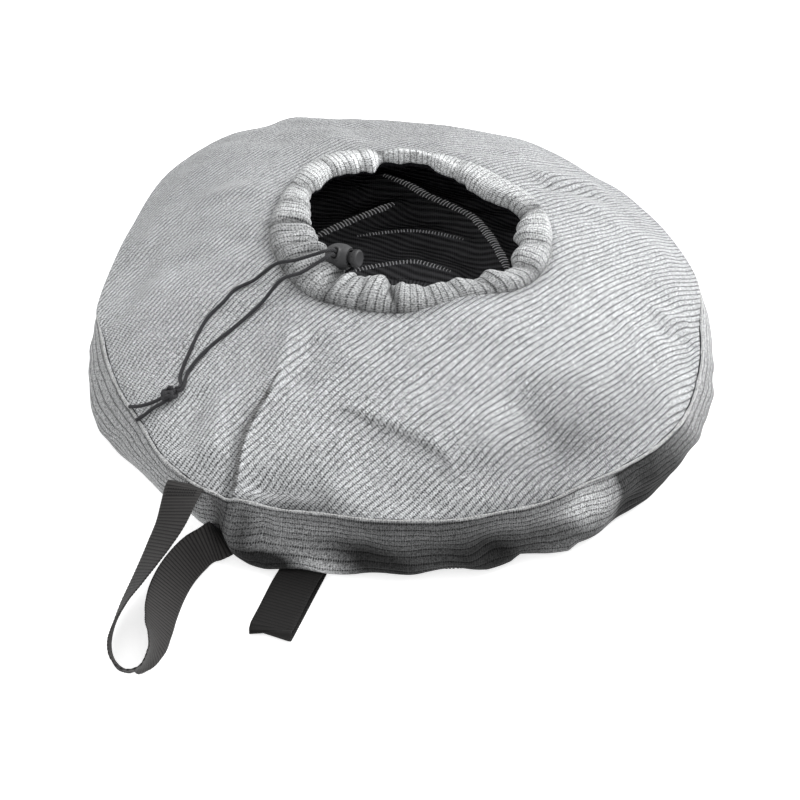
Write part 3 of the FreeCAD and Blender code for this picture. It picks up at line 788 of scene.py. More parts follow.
# The white ladder thread carries a small painted glow.
WHITE_THREAD = thread("thread_white", (0.85, 0.85, 0.88), glow=0.10)
STEEL = steel("spring_steel")
GREY_THREAD = thread("thread_seam_grey", (0.15, 0.147, 0.145))
INNER_KNIT = black_knit("inner_black_knit")


# ------------------------------------------------------------------ outer panel
RIM_Z = 60
DOME_HEIGHT = 76.5
DOME_TOP_RADIUS = 139.0
COLLAR_TUCK = 6.0  # how far the panel runs in under the collar's outer edge
SEAM_DROP = 10.5  # how far the rim seam sits lower where the panel rolls over it
LINING_GAP = 2.6
# Outward roll above the rim seam: position on the panel, distance outward.
ROLL_PROFILE = [(-0.012, 1.5), (0, 5.2), (0.008, 8.6), (0.018, 9.9), (0.03, 9.6),
                (0.045, 7.6), (0.065, 4.6), (0.10, 1.3), (0.14, 0)]
rim_seam_noise = wave_noise(95, 12, 61)


def dome(angle, rise):
    """Plain dome: rise is 0 at the rim seam and 1 at the collar seam."""
    rim_radius = rim(angle)
    collar_radius = collar_outer(angle) - COLLAR_TUCK
    reach = rise * (rim_radius - collar_radius) / (rim_radius - DOME_TOP_RADIUS)
    radius = rim_radius * (1 - rise) + collar_radius * rise
    x = rise * COLLAR_CENTRE[0] + radius * np.cos(angle)
    y = rise * COLLAR_CENTRE[1] + radius * np.sin(angle)
    inside = np.minimum(reach, 1.0)
    z = RIM_Z + DOME_HEIGHT * inside * (1.25 - 0.25 * inside) + np.maximum(reach - 1.0, 0) * 36
    return x, y, z


def seam_wave(angle):
    """Rise and fall of the rim seam, with a notch where the closing seams meet."""
    degrees = to_degrees(angle)
    radius = rim(angle)
    return (1.15 * rim_seam_noise(radius * np.cos(angle), radius * np.sin(angle))
            - 3.4 * bump(degrees, -118.6, 1.3) + 1.2 * bump(degrees, -114.5, 2.5))


def seam_drop(angle):
    """0 along the front, 1 where the rim seam sits lower."""
    return 1 - plateau(to_degrees(angle), -179.5, -163, -14, 10)


def seam_in(angle):
    """How far the rim seam is drawn inward of the widest outline."""
    degrees = to_degrees(angle)
    return (7.5 * plateau(degrees, -67, -52, -12, 8)
            + 4.5 * plateau(degrees, -178, -165, -142, -130))


def panel_surface(angle, rise, ribs=True):
    """x, y, z, rib count and run of the finished outer panel."""
    x, y, z = dome(angle, rise)
    collar_ease = 0.35 + 0.65 * fade(rise, 0.93, 1.0)
    z = z + folds(x, y) * ease(rise, 0.0, 0.10) * collar_ease
    drop = seam_drop(angle)
    z = (z - SEAM_DROP * drop * fade(rise, 0.0, 0.20) + 2.0 * drop * bump(rise, 0.10, 0.06)
         + seam_wave(angle) * fade(rise, 0.0, 0.12))
    outward = drop * table_at(rise, ROLL_PROFILE) - seam_in(angle) * fade(rise, 0.0, 0.22)
    x = x + outward * np.cos(angle)
    y = y + outward * np.sin(angle)
    # Welt of the closing seam, growing toward the rim, with a hollow beside it.
    distance, signed, along = polyline_field(x, y, SEAM)
    grow = ease(along, 0.30, 0.62)
    z = (z + grow * 1.9 * bump(distance, 0, 4.2)
         - grow * 2.0 * bump(signed, -9, 7.0) * (distance < 40)
         + 0.8 * bump(distance, 0, 7.0) * ease(along, 0.0, 0.3))
    rib, run = rib_fields(x, y)
    # The ribs on one side of the seam are half a rib out of step.
    rib = rib + grow * 0.5 * (signed > 0) * bump(distance, 0, 40)
    if ribs:
        z = z + 0.42 * rib_relief(rib) * ease(rise, 0.0, 0.02)
    return x, y, z, rib, run


def panel_shade(angle, rise, x, y):
    """Painted shade and light over the panel, as a brightness factor."""
    degrees = to_degrees(angle)

    def patch(amount, at_degrees, spread, at_rise, rise_spread, height=rise):
        return amount * bump(degrees, at_degrees, spread) * bump(height, at_rise, rise_spread)

    above_rim = np.maximum(rise, 0)
    # Painted shade just above the rim seam along the front, and over the front right.
    shade = 1 - patch(0.70, -107, 8.5, 0, 0.085, above_rim)
    shade = shade - patch(0.34, -72, 12, 0, 0.045, above_rim)
    shade = shade - patch(0.30, -55, 16, 0.27, 0.20) - patch(0.10, -75, 14, 0.2, 0.12)
    # Painted shade round the back and right, painted light at the front left.
    back = bump(np.where(degrees < -60, degrees + 360, degrees), 95, 48.0)
    shade = shade * (1 - 0.32 * back) * (1 - 0.15 * bump(degrees, 32, 40))
    shade = shade * (1 - 0.10 * bump(degrees, 0, 45) * fade(rise, 0.1, 0.5))
    shade = shade * (1 + 0.14 * bump(degrees, -140, 18) * fade(rise, 0.3, 0.6))
    shade = shade * (1 - patch(0.24, -58, 15, 0.12, 0.14)) * (1 + patch(0.14, -108, 12, 0.42, 0.25))
    # Shadow along the step.
    distance, signed, _ = polyline_field(x, y, STEP_CREASE + [(46, -265)])
    shade = shade * (1 - 0.24 * bump(signed, -1.0, 2.4) * (distance < 12)
                     - 0.16 * bump(signed, -7, 7.0) * (distance < 20))
    # Painted shadow along one side of the closing seam, and a faint painted highlight on the other.
    distance, signed, along = polyline_field(x, y, SEAM)
    shadow = 0.34 * bump(signed, -6.5, 4.0) * (distance < 20) * ease(along, 0.35, 0.8)
    shade = shade * (1 - shadow + 0.02 * bump(signed, 3, 7.0) * (distance < 22))
    # Shadow under the collar.
    shade = shade * (1 - 0.30 * bump(rise, 0.965, 0.035))
    return np.clip(shade, 0.12, 1.3)


def build_outer_panel():
    angle, rise = grid(around(1640), np.linspace(-0.012, 1, 150))
    x, y, z, rib, run = panel_surface(angle, rise)
    shade = panel_shade(angle, rise, x, y)
    panel = grid_mesh("outer_panel_knit", np.stack([x, y, z], -1), close_u=True,
                      attributes={"rib": rib, "run": run, "shade": shade})
    ride(paint(panel, PANEL_KNIT), "outer_side", "outer_knit", "outer_side_panel")

    # Lining underneath, seen through the mouth.
    x, y, z, _, _ = panel_surface(*grid(around(240), np.linspace(0.012, 1, 30)), ribs=False)
    lining = grid_mesh("outer_panel_lining", np.stack([x, y, z - LINING_GAP], -1),
                       close_u=True, flip=True)
    ride(paint(lining, LINING), "outer_side", "inner_fabric")


def panel_height(x, y):
    """Height of the panel at plan points, found by bisection along its rise."""
    x, y = np.atleast_1d(x), np.atleast_1d(y)
    low, high = np.zeros(x.shape), np.ones(x.shape)
    for _ in range(40):
        rise = (low + high) / 2
        dx, dy = x - rise * COLLAR_CENTRE[0], y - rise * COLLAR_CENTRE[1]
        angle = np.arctan2(dy, dx)
        radius = rim(angle) * (1 - rise) + (collar_outer(angle) - COLLAR_TUCK) * rise
        outside = np.hypot(dx, dy) > radius
        high = np.where(outside, rise, high)
        low = np.where(outside, low, rise)
    rise = (low + high) / 2
    angle = np.arctan2(y - rise * COLLAR_CENTRE[1], x - rise * COLLAR_CENTRE[0])
    return panel_surface(angle, rise, ribs=False)[2]


def drape(points):
    """Turn rows of x, y, height above the panel into x, y, z."""
    x, y, height = np.array(points, float).T
    return np.stack([x, y, panel_height(x, y) + height], 1)


# ------------------------------------------------------------------ collar
# Pinches: degrees, angular width, depth, and lean of the crease across the roll in degrees.
PINCHES = [(178, 4.5, 8.5, 3), (186, 3, 4.0, 3), (149, 5, 6.5, 3), (103, 5, 7.0, 3),
           (262, 3.4, 9.5, 7), (10, 5, 7.5, 3), (-30, 4.5, 6.0, 3), (206, 5, 8.0, 3),
           (216, 3.2, 6.0, 3), (231, 5.5, 9.0, 7), (239, 2.6, 4.0, 3), (281, 4, 3.0, 3),
           (294, 4, 3.6, 3), (309, 4, 4.0, 3), (60, 7, 2.5, 3), (130, 5, 3.5, 3),
           (196, 4, 5.5, 3), (246, 4, 5.5, 7), (-14, 4, 3.5, 3), (163, 4, 4.0, 3)]
# Gathers: waves in a turn, phase, height.
GATHERS = [(31, 0.9, 1.1), (43, 2.2, 0.9), (19, 4.0, 1.5), (13, 1.0, 1.3)]
COLLAR_RIBS = 122
COLLAR_ROLL_LENGTH = 92.0


def collar_shape(angle, turn):
    """Radius, z and dent depth; turn goes from the outer edge (0) over the top to the
    inner edge (pi) and back underneath."""
    outer, inner = collar_outer(angle), collar_inner(angle)
    inward = 0.5 - 0.5 * np.cos(turn)
    gather = np.zeros_like(angle)
    for waves, phase, height in GATHERS:
        gather += height * np.sin(waves * angle + phase + 1.3 * np.sin(3 * angle + waves))
    gather = gather * (0.55 + 0.45 * np.sin(2 * angle + 0.8) * np.sin(5 * angle + 2))
    pinch = np.zeros_like(angle)
    crease = np.zeros_like(angle)
    for degrees, width, depth, lean in PINCHES:
        offset = to_degrees(angle - math.radians(degrees)) + lean * (inward - 0.5)
        pinch += depth * bump(offset, 0, width)
        crease += depth * 0.55 * bump(offset, 0, width * 0.35)
    radius = (outer + inner) / 2 + (outer - inner) / 2 * np.cos(turn)
    half_height = 9.5 + 0.6 * np.sin(3 * angle + 1)
    z = 138.0 + 2.0 * np.sin(2 * angle + 0.5)
    # The upper half is taller than the lower one.
    z = z + half_height * np.sin(turn) * np.where(turn < math.pi, 1.25, 0.72)
    up = np.where(turn < math.pi, np.sin(turn), 0)
    # Squarer shoulders than an ellipse.
    z = z + 1.3 * np.sin(2 * turn) ** 2 * up
    wave = gather * (0.35 + 0.9 * inward)
    z = z + wave * up - (pinch * 0.42 + crease * 0.95) * up * (0.35 + 0.65 * inward)
    radius = radius - wave * inward * 1.15 + pinch * inward * 0.42
    return radius, z, pinch * 0.10 + crease * 0.16


def collar_shade(angle, turn, dent):
    """Painted shade at the front, in the dents and along the outer edge; painted light inside the
    back and at the front left.
    """
    degrees = to_degrees(angle)
    from_front = np.abs(wrap(angle + math.radians(104)))
    front = fade(from_front, math.radians(52), math.radians(110))
    inward = 0.5 - 0.5 * np.cos(turn)
    shade = (1 - front * (0.43 - 0.24 * inward)) * (1 - 0.06 * (1 - front))
    shade = shade * np.clip(1 - 0.42 * dent, 0.4, 1)
    shade = shade * (1 + 0.75 * bump(degrees, 95, 42) * ease(inward, 0.3, 0.7))
    shade = shade * (1 + 0.34 * bump(degrees, -126, 16))
    outer_edge = bump(np.minimum(turn, TAU - turn), 0, 0.35) * (turn < 4)
    return np.clip(shade * (1 - 0.30 * outer_edge), 0.2, 1.5)


def build_collar():
    angle, turn = grid(np.linspace(-math.pi, math.pi, 1501), around(72, 0))
    radius, z, dent = collar_shape(angle, turn)
    # Rib count round the collar, with slow drifts that crowd and slant the ribs.
    drift = (0.006 * np.sin(17 * angle + 2)
             + 0.010 * np.sin(9 * angle + 1) * (0.5 - 0.5 * np.cos(turn)))
    rib = ((angle + drift) / TAU * COLLAR_RIBS - 3.7 * np.sin(angle + math.pi / 2)
           + 0.45 * np.sin(5 * angle + 1) + 0.25 * np.sin(11 * angle))
    relief = 0.36 * rib_relief(rib)
    points = polar(radius + relief * np.cos(turn), angle, z + relief * np.sin(turn),
                   COLLAR_CENTRE)
    collar = grid_mesh("collar_roll", points, close_v=True, flip=True,
                       attributes={"rib": rib, "run": turn / TAU * COLLAR_ROLL_LENGTH,
                                   "shade": collar_shade(angle, turn, dent)})
    ride(paint(collar, COLLAR_KNIT), "outer_side", "collar_knit", "collar_casing")

    # Black facing of the collar's inside.
    angle, turn = grid(around(360), np.linspace(math.pi * 1.02, math.pi * 1.75, 16))
    radius, z, _ = collar_shape(angle, turn)
    points = polar(radius + 1.2 * np.cos(turn), angle, z + 1.6 * np.sin(turn), COLLAR_CENTRE)
    facing = grid_mesh("collar_facing", points, close_u=True)
    ride(paint(facing, LINING), "outer_side", "inner_fabric")


# ------------------------------------------------------------------ tread band
BAND_SPAN = ((0, 0, 0.004), (0, 0, 0.0475))  # metres
BAND_START = math.radians(-116.9)  # where the band's ends meet
ROW_SPACING = 6.3
BAND_RUN_RADIUS = 312
# Section: drop (0 at the top seam, 1 at the lip underneath), outward offset, z.
BAND_PROFILE = [(0.0, 0, 61.0), (0.035, 2.0, 61.2), (0.08, 3.8, 58.5), (0.2, 6.5, 51),
                (0.4, 8.0, 38), (0.6, 8.8, 25), (0.78, 9.0, 13), (0.87, 7.5, 6.0),
                (0.93, 4.0, 2.0), (0.97, -2.0, 0.7), (1.0, -10.0, 0.8)]
# Outward offset of the foot by degrees.
BAND_FOOT = [(-180, 0), (-155, -1), (-146, -4), (-137, -8), (-127, -8), (-122, -6),
             (-118.5, -6), (-116, -1), (-113, 5), (-108, 11), (-103, 13.5), (-97, 12.5),
             (-92, 9), (-86, 7), (-80, 7), (-76, 10), (-72, 8), (-70, 3), (-66, 8),
             (-62.6, 11), (-60.5, 5), (-55, -1), (-47, -5), (-37, -8), (-20, -3), (0, 0),
             (180, 0)]
# Folds beside the closing seam: outward offset, degrees, spread, and the drops between
# which the fold rises and falls.
CLOSING_FOLDS = [(5.0, -116.5, 2.2, (0.1, 0.5, 0.9, 1)), (12.0, -112.5, 6.0, (0.25, 0.85, 0.93, 1)),
                 (-7.0, -120.5, 1.9, (0.05, 0.3, 0.8, 1.0)),
                 (-3.5, -112.0, 1.2, (0.05, 0.3, 0.7, 1.0))]
# Front dents and their ridges: outward offset, degrees, spread, z, z spread.
BAND_DENTS = [(-8.0, -74.5, 3.0, 20, 16), (-9.0, -50.0, 3.2, 22, 18), (3.0, -80, 3.0, 22, 16),
              (3.0, -56, 3.5, 22, 16)]
# Painted shade and light by degrees: brightness at the top, the middle and the bottom.
BAND_PAINTED_SHADE_AND_LIGHT = [(-180, 1, 1, 1), (-150, 0.84, 0.84, 0.84), (-124, 0.85, 0.9, 1.2),
              (-118, 1.0, 1.5, 3.2), (-112, 0.95, 1.75, 6.0), (-103, 0.8, 1.5, 4.0),
              (-94, 0.48, 1.0, 0.95), (-77, 0.56, 0.70, 0.62), (-68, 0.95, 1.2, 1.0),
              (-59.5, 1.25, 4.2, 3.4), (-53, 0.9, 1.3, 1.2), (-52, 0.20, 0.24, 0.24),
              (-45, 0.16, 0.2, 0.2), (-40, 0.45, 0.45, 0.45), (-33, 1.0, 1.0, 0.95),
              (-18, 0.8, 0.75, 0.75), (0, 1, 0.95, 0.9), (180, 1, 1, 1)]
band_noise_wide, band_noise_fine = wave_noise(95, 12, 31), wave_noise(38, 10, 32)
band_edge_noise = wave_noise(60, 12, 33)
band_shade_noise = wave_noise(70, 10, 41)


def left_bulge(angle):
    return plateau(-to_degrees(angle), 130, 152, 154, 179)


def band_shape(angle, drop):
    """Radius and z of the band; drop is 0 at the top seam and 1 at the lip."""
    outward = table_at(drop, BAND_PROFILE, 1)
    z = table_at(drop, BAND_PROFILE, 2)
    radius = rim(angle)
    degrees = to_degrees(angle)
    middle = np.sin(np.clip(drop, 0, 1) * math.pi)
    lowered = seam_drop(angle)
    outward = (outward + left_bulge(angle) * 11.0 * plateau(drop, 0.0, 0.45, 0.82, 1.0)
               + 2.2 * lowered * fade(drop, 0.0, 0.5) - seam_in(angle) * fade(drop, 0.0, 0.42))
    z = z - SEAM_DROP * lowered * fade(drop, 0.0, 0.6) + seam_wave(angle) * fade(drop, 0.0, 0.4)
    for amount, centre, spread, extent in CLOSING_FOLDS:
        outward = outward + amount * bump(degrees, centre, spread) * plateau(drop, *extent)
    x, y = radius * np.cos(angle), radius * np.sin(angle)
    outward = outward + middle * (1.5 * band_noise_wide(x + 0.8 * z, y)
                                  + 0.7 * band_noise_fine(x, y + z))
    for amount, centre, spread, z_centre, z_spread in BAND_DENTS:
        outward = outward + amount * bump(degrees, centre, spread) * bump(z, z_centre, z_spread)
    foot = table_at(degrees, BAND_FOOT)
    outward = outward + foot * plateau(drop, 0.45, 0.88, 0.95, 1.0)
    # Uneven lower edge.
    low = plateau(drop, 0.55, 0.9, 0.93, 1.0)
    z = z + low * (1.6 + 1.5 * band_edge_noise(x, y))
    outward = outward + low * 1.6 * band_edge_noise(y + 40, x) * 0.7
    return radius + outward, np.maximum(z, 0.35)


def band_shade(angle, drop, radius, z):
    """Brightness factor of painted shade and light: dark low along the front, with the table's
    patches on top.
    """
    degrees = to_degrees(angle)
    front = plateau(degrees, -124, -117, -45, -8)
    mottle = band_shade_noise(radius * np.cos(angle), radius * np.sin(angle) + z)
    shade = 1 - front * (0.44 + 0.50 * ease(drop, 0.02, 0.75) * (0.88 + 0.16 * mottle))
    # Painted shade in the creases either side of the closing fold, then under the left bulge.
    shade = shade * (1 - 0.62 * bump(degrees, -119.6, 2.6)
                     - 0.5 * bump(degrees, -115.0, 1.5) * ease(drop, 0.05, 0.25))
    shade = shade * (1 - 0.25 * left_bulge(angle) * ease(drop, 0.45, 0.9))
    # Painted shade in the front hollows, and a painted highlight beside them.
    shade = shade * (1 - 0.42 * plateau(degrees, -105, -90, -66, -54)
                     * (0.4 + 0.6 * ease(drop, 0.1, 0.5))
                     - 0.35 * bump(degrees, -46, 5) * ease(drop, 0.1, 0.4))
    shade = shade * (1 + 0.5 * bump(degrees, -58, 4) * fade(drop, 0.1, 0.6))
    top, middle, bottom = (table_at(degrees, BAND_PAINTED_SHADE_AND_LIGHT, column) for column in (1, 2, 3))
    to_middle, to_bottom = ease(drop, 0.08, 0.38), ease(drop, 0.42, 0.75)
    lower = middle * (1 - to_bottom) + bottom * to_bottom
    return np.clip(shade * (top * (1 - to_middle) + to_middle * lower), 0.05, 1.25)


def build_band():
    drops = np.concatenate([np.linspace(0, 0.12, 14), np.linspace(0.12, 0.9, 66)[1:],
                            np.linspace(0.9, 1.0, 10)[1:]])
    angle, drop = grid(np.linspace(BAND_START, BAND_START + TAU, 1561), drops)
    radius, z = band_shape(angle, drop)
    rib = arc_length(np.stack([radius[0], z[0]], 1))[None, :] / ROW_SPACING + 0.35
    rib = rib + 0.10 * np.sin(9 * angle) + 0.08 * np.sin(23 * angle + 1)
    radius = radius + 0.45 * rib_relief(rib) * plateau(drop, 0.03, 0.07, 0.9, 0.97)
    band = grid_mesh("tread_band_knit", polar(radius, angle, z), flip=True,
                     attributes={"rib": rib, "run": angle * BAND_RUN_RADIUS,
                                 "shade": band_shade(angle, drop, radius, z)})
    blend(paint(band, BAND_KNIT), "inner_side", "outer_side", BAND_SPAN,
          "band_fabric", "tread_band")

    # The band's black inside.
    angle, drop = grid(around(300), np.linspace(0.03, 0.985, 24))
    radius, z = band_shape(angle, drop)
    points = polar(radius - LINING_GAP, angle, np.maximum(z + 0.6 * (drop > 0.9), 0.8))
    lining = grid_mesh("tread_band_lining", points, close_u=True)
    blend(paint(lining, LINING), "inner_side", "outer_side", BAND_SPAN, "inner_fabric")


# ------------------------------------------------------------------ seams
def build_round_seams():
    """Piping and stitches of the top seam, then the bottom and collar seam stitches."""
    angle = np.linspace(BAND_START, BAND_START + TAU, 900)
    radius, z = band_shape(angle, np.full_like(angle, 0.03))
    top_seam = polar(radius, angle, z + 0.2)
    outward = polar(1, angle, 0)
    section = around(10, 0)
    half_width = ((1.9 + 0.35 * np.sin(angle * 41 + 1) + 0.25 * np.sin(angle * 97))
                  * (1 - 0.45 * seam_drop(angle)))
    half_height = 1.15
    sideways = np.cos(section)[None, :, None] * half_width[:, None, None]
    points = (top_seam[:, None, :] + outward[:, None, :] * sideways
              + UP * (np.sin(section)[None, :, None] * half_height))
    # Painted shade: the piping is darker along the front.
    shade = 1.0 - 0.25 * plateau(to_degrees(angle), -124, -100, -60, -35)
    piping = grid_mesh("top_seam_piping", points, close_v=True,
                       attributes={"rib": section / TAU * 2, "shade": shade[:, None],
                                   "run": (angle * BAND_RUN_RADIUS)[:, None]})
    ride(paint(piping, BAND_KNIT), "outer_side", "band_fabric")
    stitches = dashes("top_seam_stitches", top_seam + outward * 0.4, step=3.1, length=2.2,
                      radius=0.32, material=PALE_THREAD, lift=1.05, arch=0.25, jitter=0.25)
    ride(stitches, "outer_side", "thread_light", "top_seam_thread")

    radius, z = band_shape(angle, np.full_like(angle, 0.945))
    stitches = dashes("bottom_seam_stitches",
                      polar(radius + 0.35, angle, np.minimum(z + 0.3, 4.8)), step=3.4,
                      length=2.4, radius=0.34, material=BLACK_THREAD, arch=0.3, jitter=0.5)
    ride(stitches, "inner_side", "thread_dark", "bottom_seam_thread")

    radius, z, _ = collar_shape(angle, np.full_like(angle, -0.25))
    stitches = dashes("collar_seam_stitches", polar(radius + 0.8, angle, z, COLLAR_CENTRE),
                      step=3.0, length=2.0, radius=0.30, material=PALE_THREAD, lift=0.6,
                      arch=0.2, jitter=0.3)
    ride(stitches, "outer_side", "thread_light", "collar_seam_thread")


def build_closing_seams():
    """Overlocked ridge down the panel, then the stitches down the band."""
    line = catmull(SEAM, 10)
    line = line[int(len(line) * 0.28):]
    path = np.column_stack([line, panel_height(line[:, 0], line[:, 1]) + 0.1])
    tangents = unit(np.gradient(path, axis=0))
    sides = unit(np.cross(tangents, UP))
    lengths = arc_length(path)
    growth = ease(np.linspace(0, 1, len(path)), 0, 0.35)
    random = np.random.RandomState(3)
    stitch_pitch, stitch_reach = 1.55, 3.2
    radii = 0.34 * np.array([0.4, 1, 1, 1, 0.4])
    vertices, faces = [], []
    for length in np.arange(0, lengths[-1], stitch_pitch):
        centre, side, tangent = (at_length(length, lengths, v) for v in (path, sides, tangents))
        reach = stitch_reach * (0.35 + 0.65 * np.interp(length, lengths, growth))
        points = []
        for u in (-1, -0.5, 0, 0.5, 1):
            slant = 0.8 * u + random.uniform(-0.15, 0.15)
            height = 0.75 * (1 - u * u) - 0.25 + 0.1 * random.rand()
            points.append(centre + side * (u * reach + 1.0) + tangent * slant + UP * height)
        add_thread(vertices, faces, np.array(points), radii, sides=5)
    stitches = raw_mesh("panel_closing_seam_stitches", vertices, faces)
    ride(paint(stitches, GREY_THREAD), "outer_side", "thread_light", "panel_closing_seam")

    drop = np.linspace(0.06, 0.86, 30)
    angle = math.radians(-118.2)
    radius, z = band_shape(np.full_like(drop, angle), drop)
    stitches = dashes("band_closing_stitches", polar(radius + 0.4, angle, z), step=3.0,
                      length=2.1, radius=0.35, material=BLACK_THREAD,
                      normal=(math.cos(angle), math.sin(angle), 0), arch=0.4)
    blend(stitches, "inner_side", "outer_side", BAND_SPAN, "thread_dark", "band_closing_seam")


# ------------------------------------------------------------------ inner side
MOUTH_RADIUS = 80.0
ELASTIC_RADIUS = 77.5
LADDER_RING_RADIUS = 90
# Ladder stitches: path of x, y, z; tick length; pitch; thread radius.
LADDERS = [
    ([(-92, 148, 14), (-70, 165, 15), (-46, 182, 15), (-22, 198, 15), (-2, 212, 14)],
     9.0, 4.1, 0.75),
    ([(-18, 262, 14), (10, 243, 15), (32, 222, 15), (58, 203, 15), (79, 185, 15),
      (92, 163, 15), (102, 138, 15), (112, 106, 14), (115, 84, 12)], 9.5, 3.9, 0.58),
    ([(-46, 155, 11), (-20, 161, 11), (12, 165, 11), (42, 160, 11), (72, 150, 10)],
     4.6, 3.4, 0.55),
    ([(-54, 93, 12.5), (-30, 101, 13), (-4, 107, 13.5), (18, 109, 14), (36, 103, 13),
      (56, 94, 12)], 6.0, 3.7, 0.60),
]
inner_noise_wide, inner_noise_fine = wave_noise(120, 12, 51), wave_noise(45, 10, 52)


def inner_height(x, y):
    """Upper side of the inner panel: soft puckers, low at rim and mouth, raised at ladders."""
    radius = np.hypot(x, y)
    edge = rim(np.arctan2(y, x)) - 12
    pucker = 3.4 + 2.6 * inner_noise_wide(x, y) + 1.1 * inner_noise_fine(x, y)
    extent = ease(radius, 84, 112) * (1 - ease(radius, edge - 60, edge - 6))
    z = 2.4 + extent * np.maximum(pucker, 0.2)
    for points, _, _, _ in LADDERS:
        distance, _, along = polyline_field(x, y, [point[:2] for point in points])
        crest = np.interp(along, np.linspace(0, 1, len(points)), [point[2] for point in points])
        weight = bump(distance, 0, 15.0)
        z = z * (1 - weight) + (crest - 0.5) * weight
    return z


def inner_sheet(name, around_count, across_count, inset, height, flip=False):
    """Knit sheet from the rim to the mouth; height takes x, y and the radius."""
    angle, across = grid(around(around_count), np.linspace(0, 1, across_count))
    radius = (rim(angle) - inset) * (1 - across) + MOUTH_RADIUS * across
    x, y = radius * np.cos(angle), radius * np.sin(angle)
    row_spacing = 7.0
    sheet = grid_mesh(name, np.stack([x, y, height(x, y, radius)], -1), close_u=True, flip=flip,
                      attributes={"rib": (x * 0.35 + y * 0.94) / row_spacing, "run": x})
    return paint(sheet, INNER_KNIT)


def ladder(name, points, tick, pitch, radius):
    """Ticks across a line on the inner panel, shorter and thinner toward its ends."""
    line = catmull([point[:2] for point in points], 14)
    lengths = arc_length(line)
    random = np.random.RandomState(int(tick * 10 + pitch * 100))
    across = np.linspace(-1, 1, 6)
    end_fade = 0.16
    vertices, faces = [], []
    for i in range(int(lengths[-1] / pitch)):
        place = (i + 0.5) * pitch + random.uniform(-0.3, 0.3)
        centre = at_length(place, lengths, line)
        heading = at_length(place + 1, lengths, line) - centre
        heading = heading / max(np.linalg.norm(heading), 1e-6)
        sideways = np.array([-heading[1], heading[0]]) + heading * random.uniform(-0.12, 0.12)
        along = place / lengths[-1]
        full = min(ease(along, 0, end_fade), fade(along, 1 - end_fade, 1))
        length = tick * (0.55 + 0.45 * full) * random.uniform(0.85, 1.1)
        x, y = (centre + sideways * (across * length / 2)[:, None]).T
        z = inner_height(x, y) + 0.9 * (1.05 - across ** 2) - 0.2
        radii = np.full(6, radius * (0.5 + 0.5 * full))
        add_thread(vertices, faces, np.stack([x, y, z], 1), radii, sides=6)
    return paint(raw_mesh(name, vertices, faces), WHITE_THREAD)


def build_inner_side():
    upper = inner_sheet("inner_panel_upper", 720, 120, inset=11.0,
                        height=lambda x, y, radius: inner_height(x, y))
    ride(upper, "inner_side", "inner_fabric", "inner_side_panel")

    def under_height(x, y, radius):
        return 0.25 + 0.9 * np.maximum(0, inner_noise_fine(x, y)) * ease(radius, 90, 120)

    under = inner_sheet("inner_panel_under", 360, 60, inset=9.0, height=under_height, flip=True)
    ride(under, "inner_side", "inner_fabric")

    # Gathered hem round the mouth, with its elastic inside.
    angle, turn = grid(around(900), around(28, 0))
    gather = (np.sin(58 * angle + 1.2 * np.sin(5 * angle)) * (0.7 + 0.3 * np.sin(7 * angle + 1))
              + 0.4 * np.sin(97 * angle + 2))
    tube = 5.6 + 0.75 * gather * (0.6 - 0.4 * np.sin(turn))
    radius = ELASTIC_RADIUS + 0.8 * np.sin(11 * angle) + tube * np.cos(turn)
    z = 6.5 + tube * np.sin(turn) + 0.35 * np.sin(23 * angle)
    hem = grid_mesh("mouth_hem_gathered", polar(radius, angle, np.maximum(z, 0.3)),
                    close_u=True, close_v=True, flip=True,
                    attributes={"rib": angle * 20, "run": turn * 6})
    ride(paint(hem, INNER_KNIT), "inner_side", "inner_fabric", "mouth_hem_casing")
    elastic = cord("mouth_elastic_cord", polar(ELASTIC_RADIUS, around(240, 0), 6.4), 2.6,
                   closed=True)
    ride(paint(elastic, BLACK_THREAD), "inner_side", "elastic", "mouth_elastic")

    ladders = [ladder("ladder_%d" % i, *row) for i, row in enumerate(LADDERS)]
    ring = polar(LADDER_RING_RADIUS, np.linspace(0, TAU, 400), 0)
    ring[:, 2] = inner_height(ring[:, 0], ring[:, 1]) + 0.3
    ladders.append(dashes("ladder_ring", ring, step=4.0, length=2.4, radius=0.3,
                          material=BLACK_THREAD))
    ride(join("inner_ladder_stitches", ladders), "inner_side", "thread_light",
         "inner_panel_stitching")


# ------------------------------------------------------------------ cord lock
LOCK = np.array([-54.5, -56.5, 153.2])
CORD_AXIS = np.array([-0.44997750, -0.49997500, 0.73996300])
PLUNGER_AXIS = np.array([0.86831814, -0.43856108, 0.23170625])
SIDE_AXIS = np.cross(CORD_AXIS, PLUNGER_AXIS)
# Sections about the plunger axis: distance along it, radius.
BARREL_PROFILE = [(-15, 0.3), (-14.6, 4.5), (-13.5, 7.8), (-11.5, 9.9), (-8, 11.7), (-4, 12.5),
                  (0, 12.6), (4, 12.2), (8, 10.9), (10.2, 9.7), (11.0, 8.9)]
FACE_PROFILE = [(11.0, 8.6), (11.2, 8.0), (10.8, 7.2), (9.6, 6.6), (7.5, 6.4)]
BUTTON_PROFILE = [(5.3, 0.05), (5.3, 5.0), (5.6, 5.4), (12.2, 5.4), (14.3, 5.5), (14.5, 7.4),
                  (14.75, 8.0), (15.1, 8.25), (18.6, 8.3), (19.6, 8.1), (20.3, 7.3),
                  (20.5, 6.4), (20.15, 5.6), (19.9, 3.0), (19.85, 0.05)]
# Ridges round the button: count, ends along the axis, section (sideways, radius).
RIDGE_COUNT = 22
RIDGE_ENDS = (15.0, 18.5)
RIDGE_SECTION = [(-0.42, 8.1), (-0.25, 8.75), (0.25, 8.75), (0.42, 8.1)]
RIDGE_FACES = [(0, 1, 5, 4), (1, 2, 6, 5), (2, 3, 7, 6), (0, 3, 2, 1), (4, 5, 6, 7)]


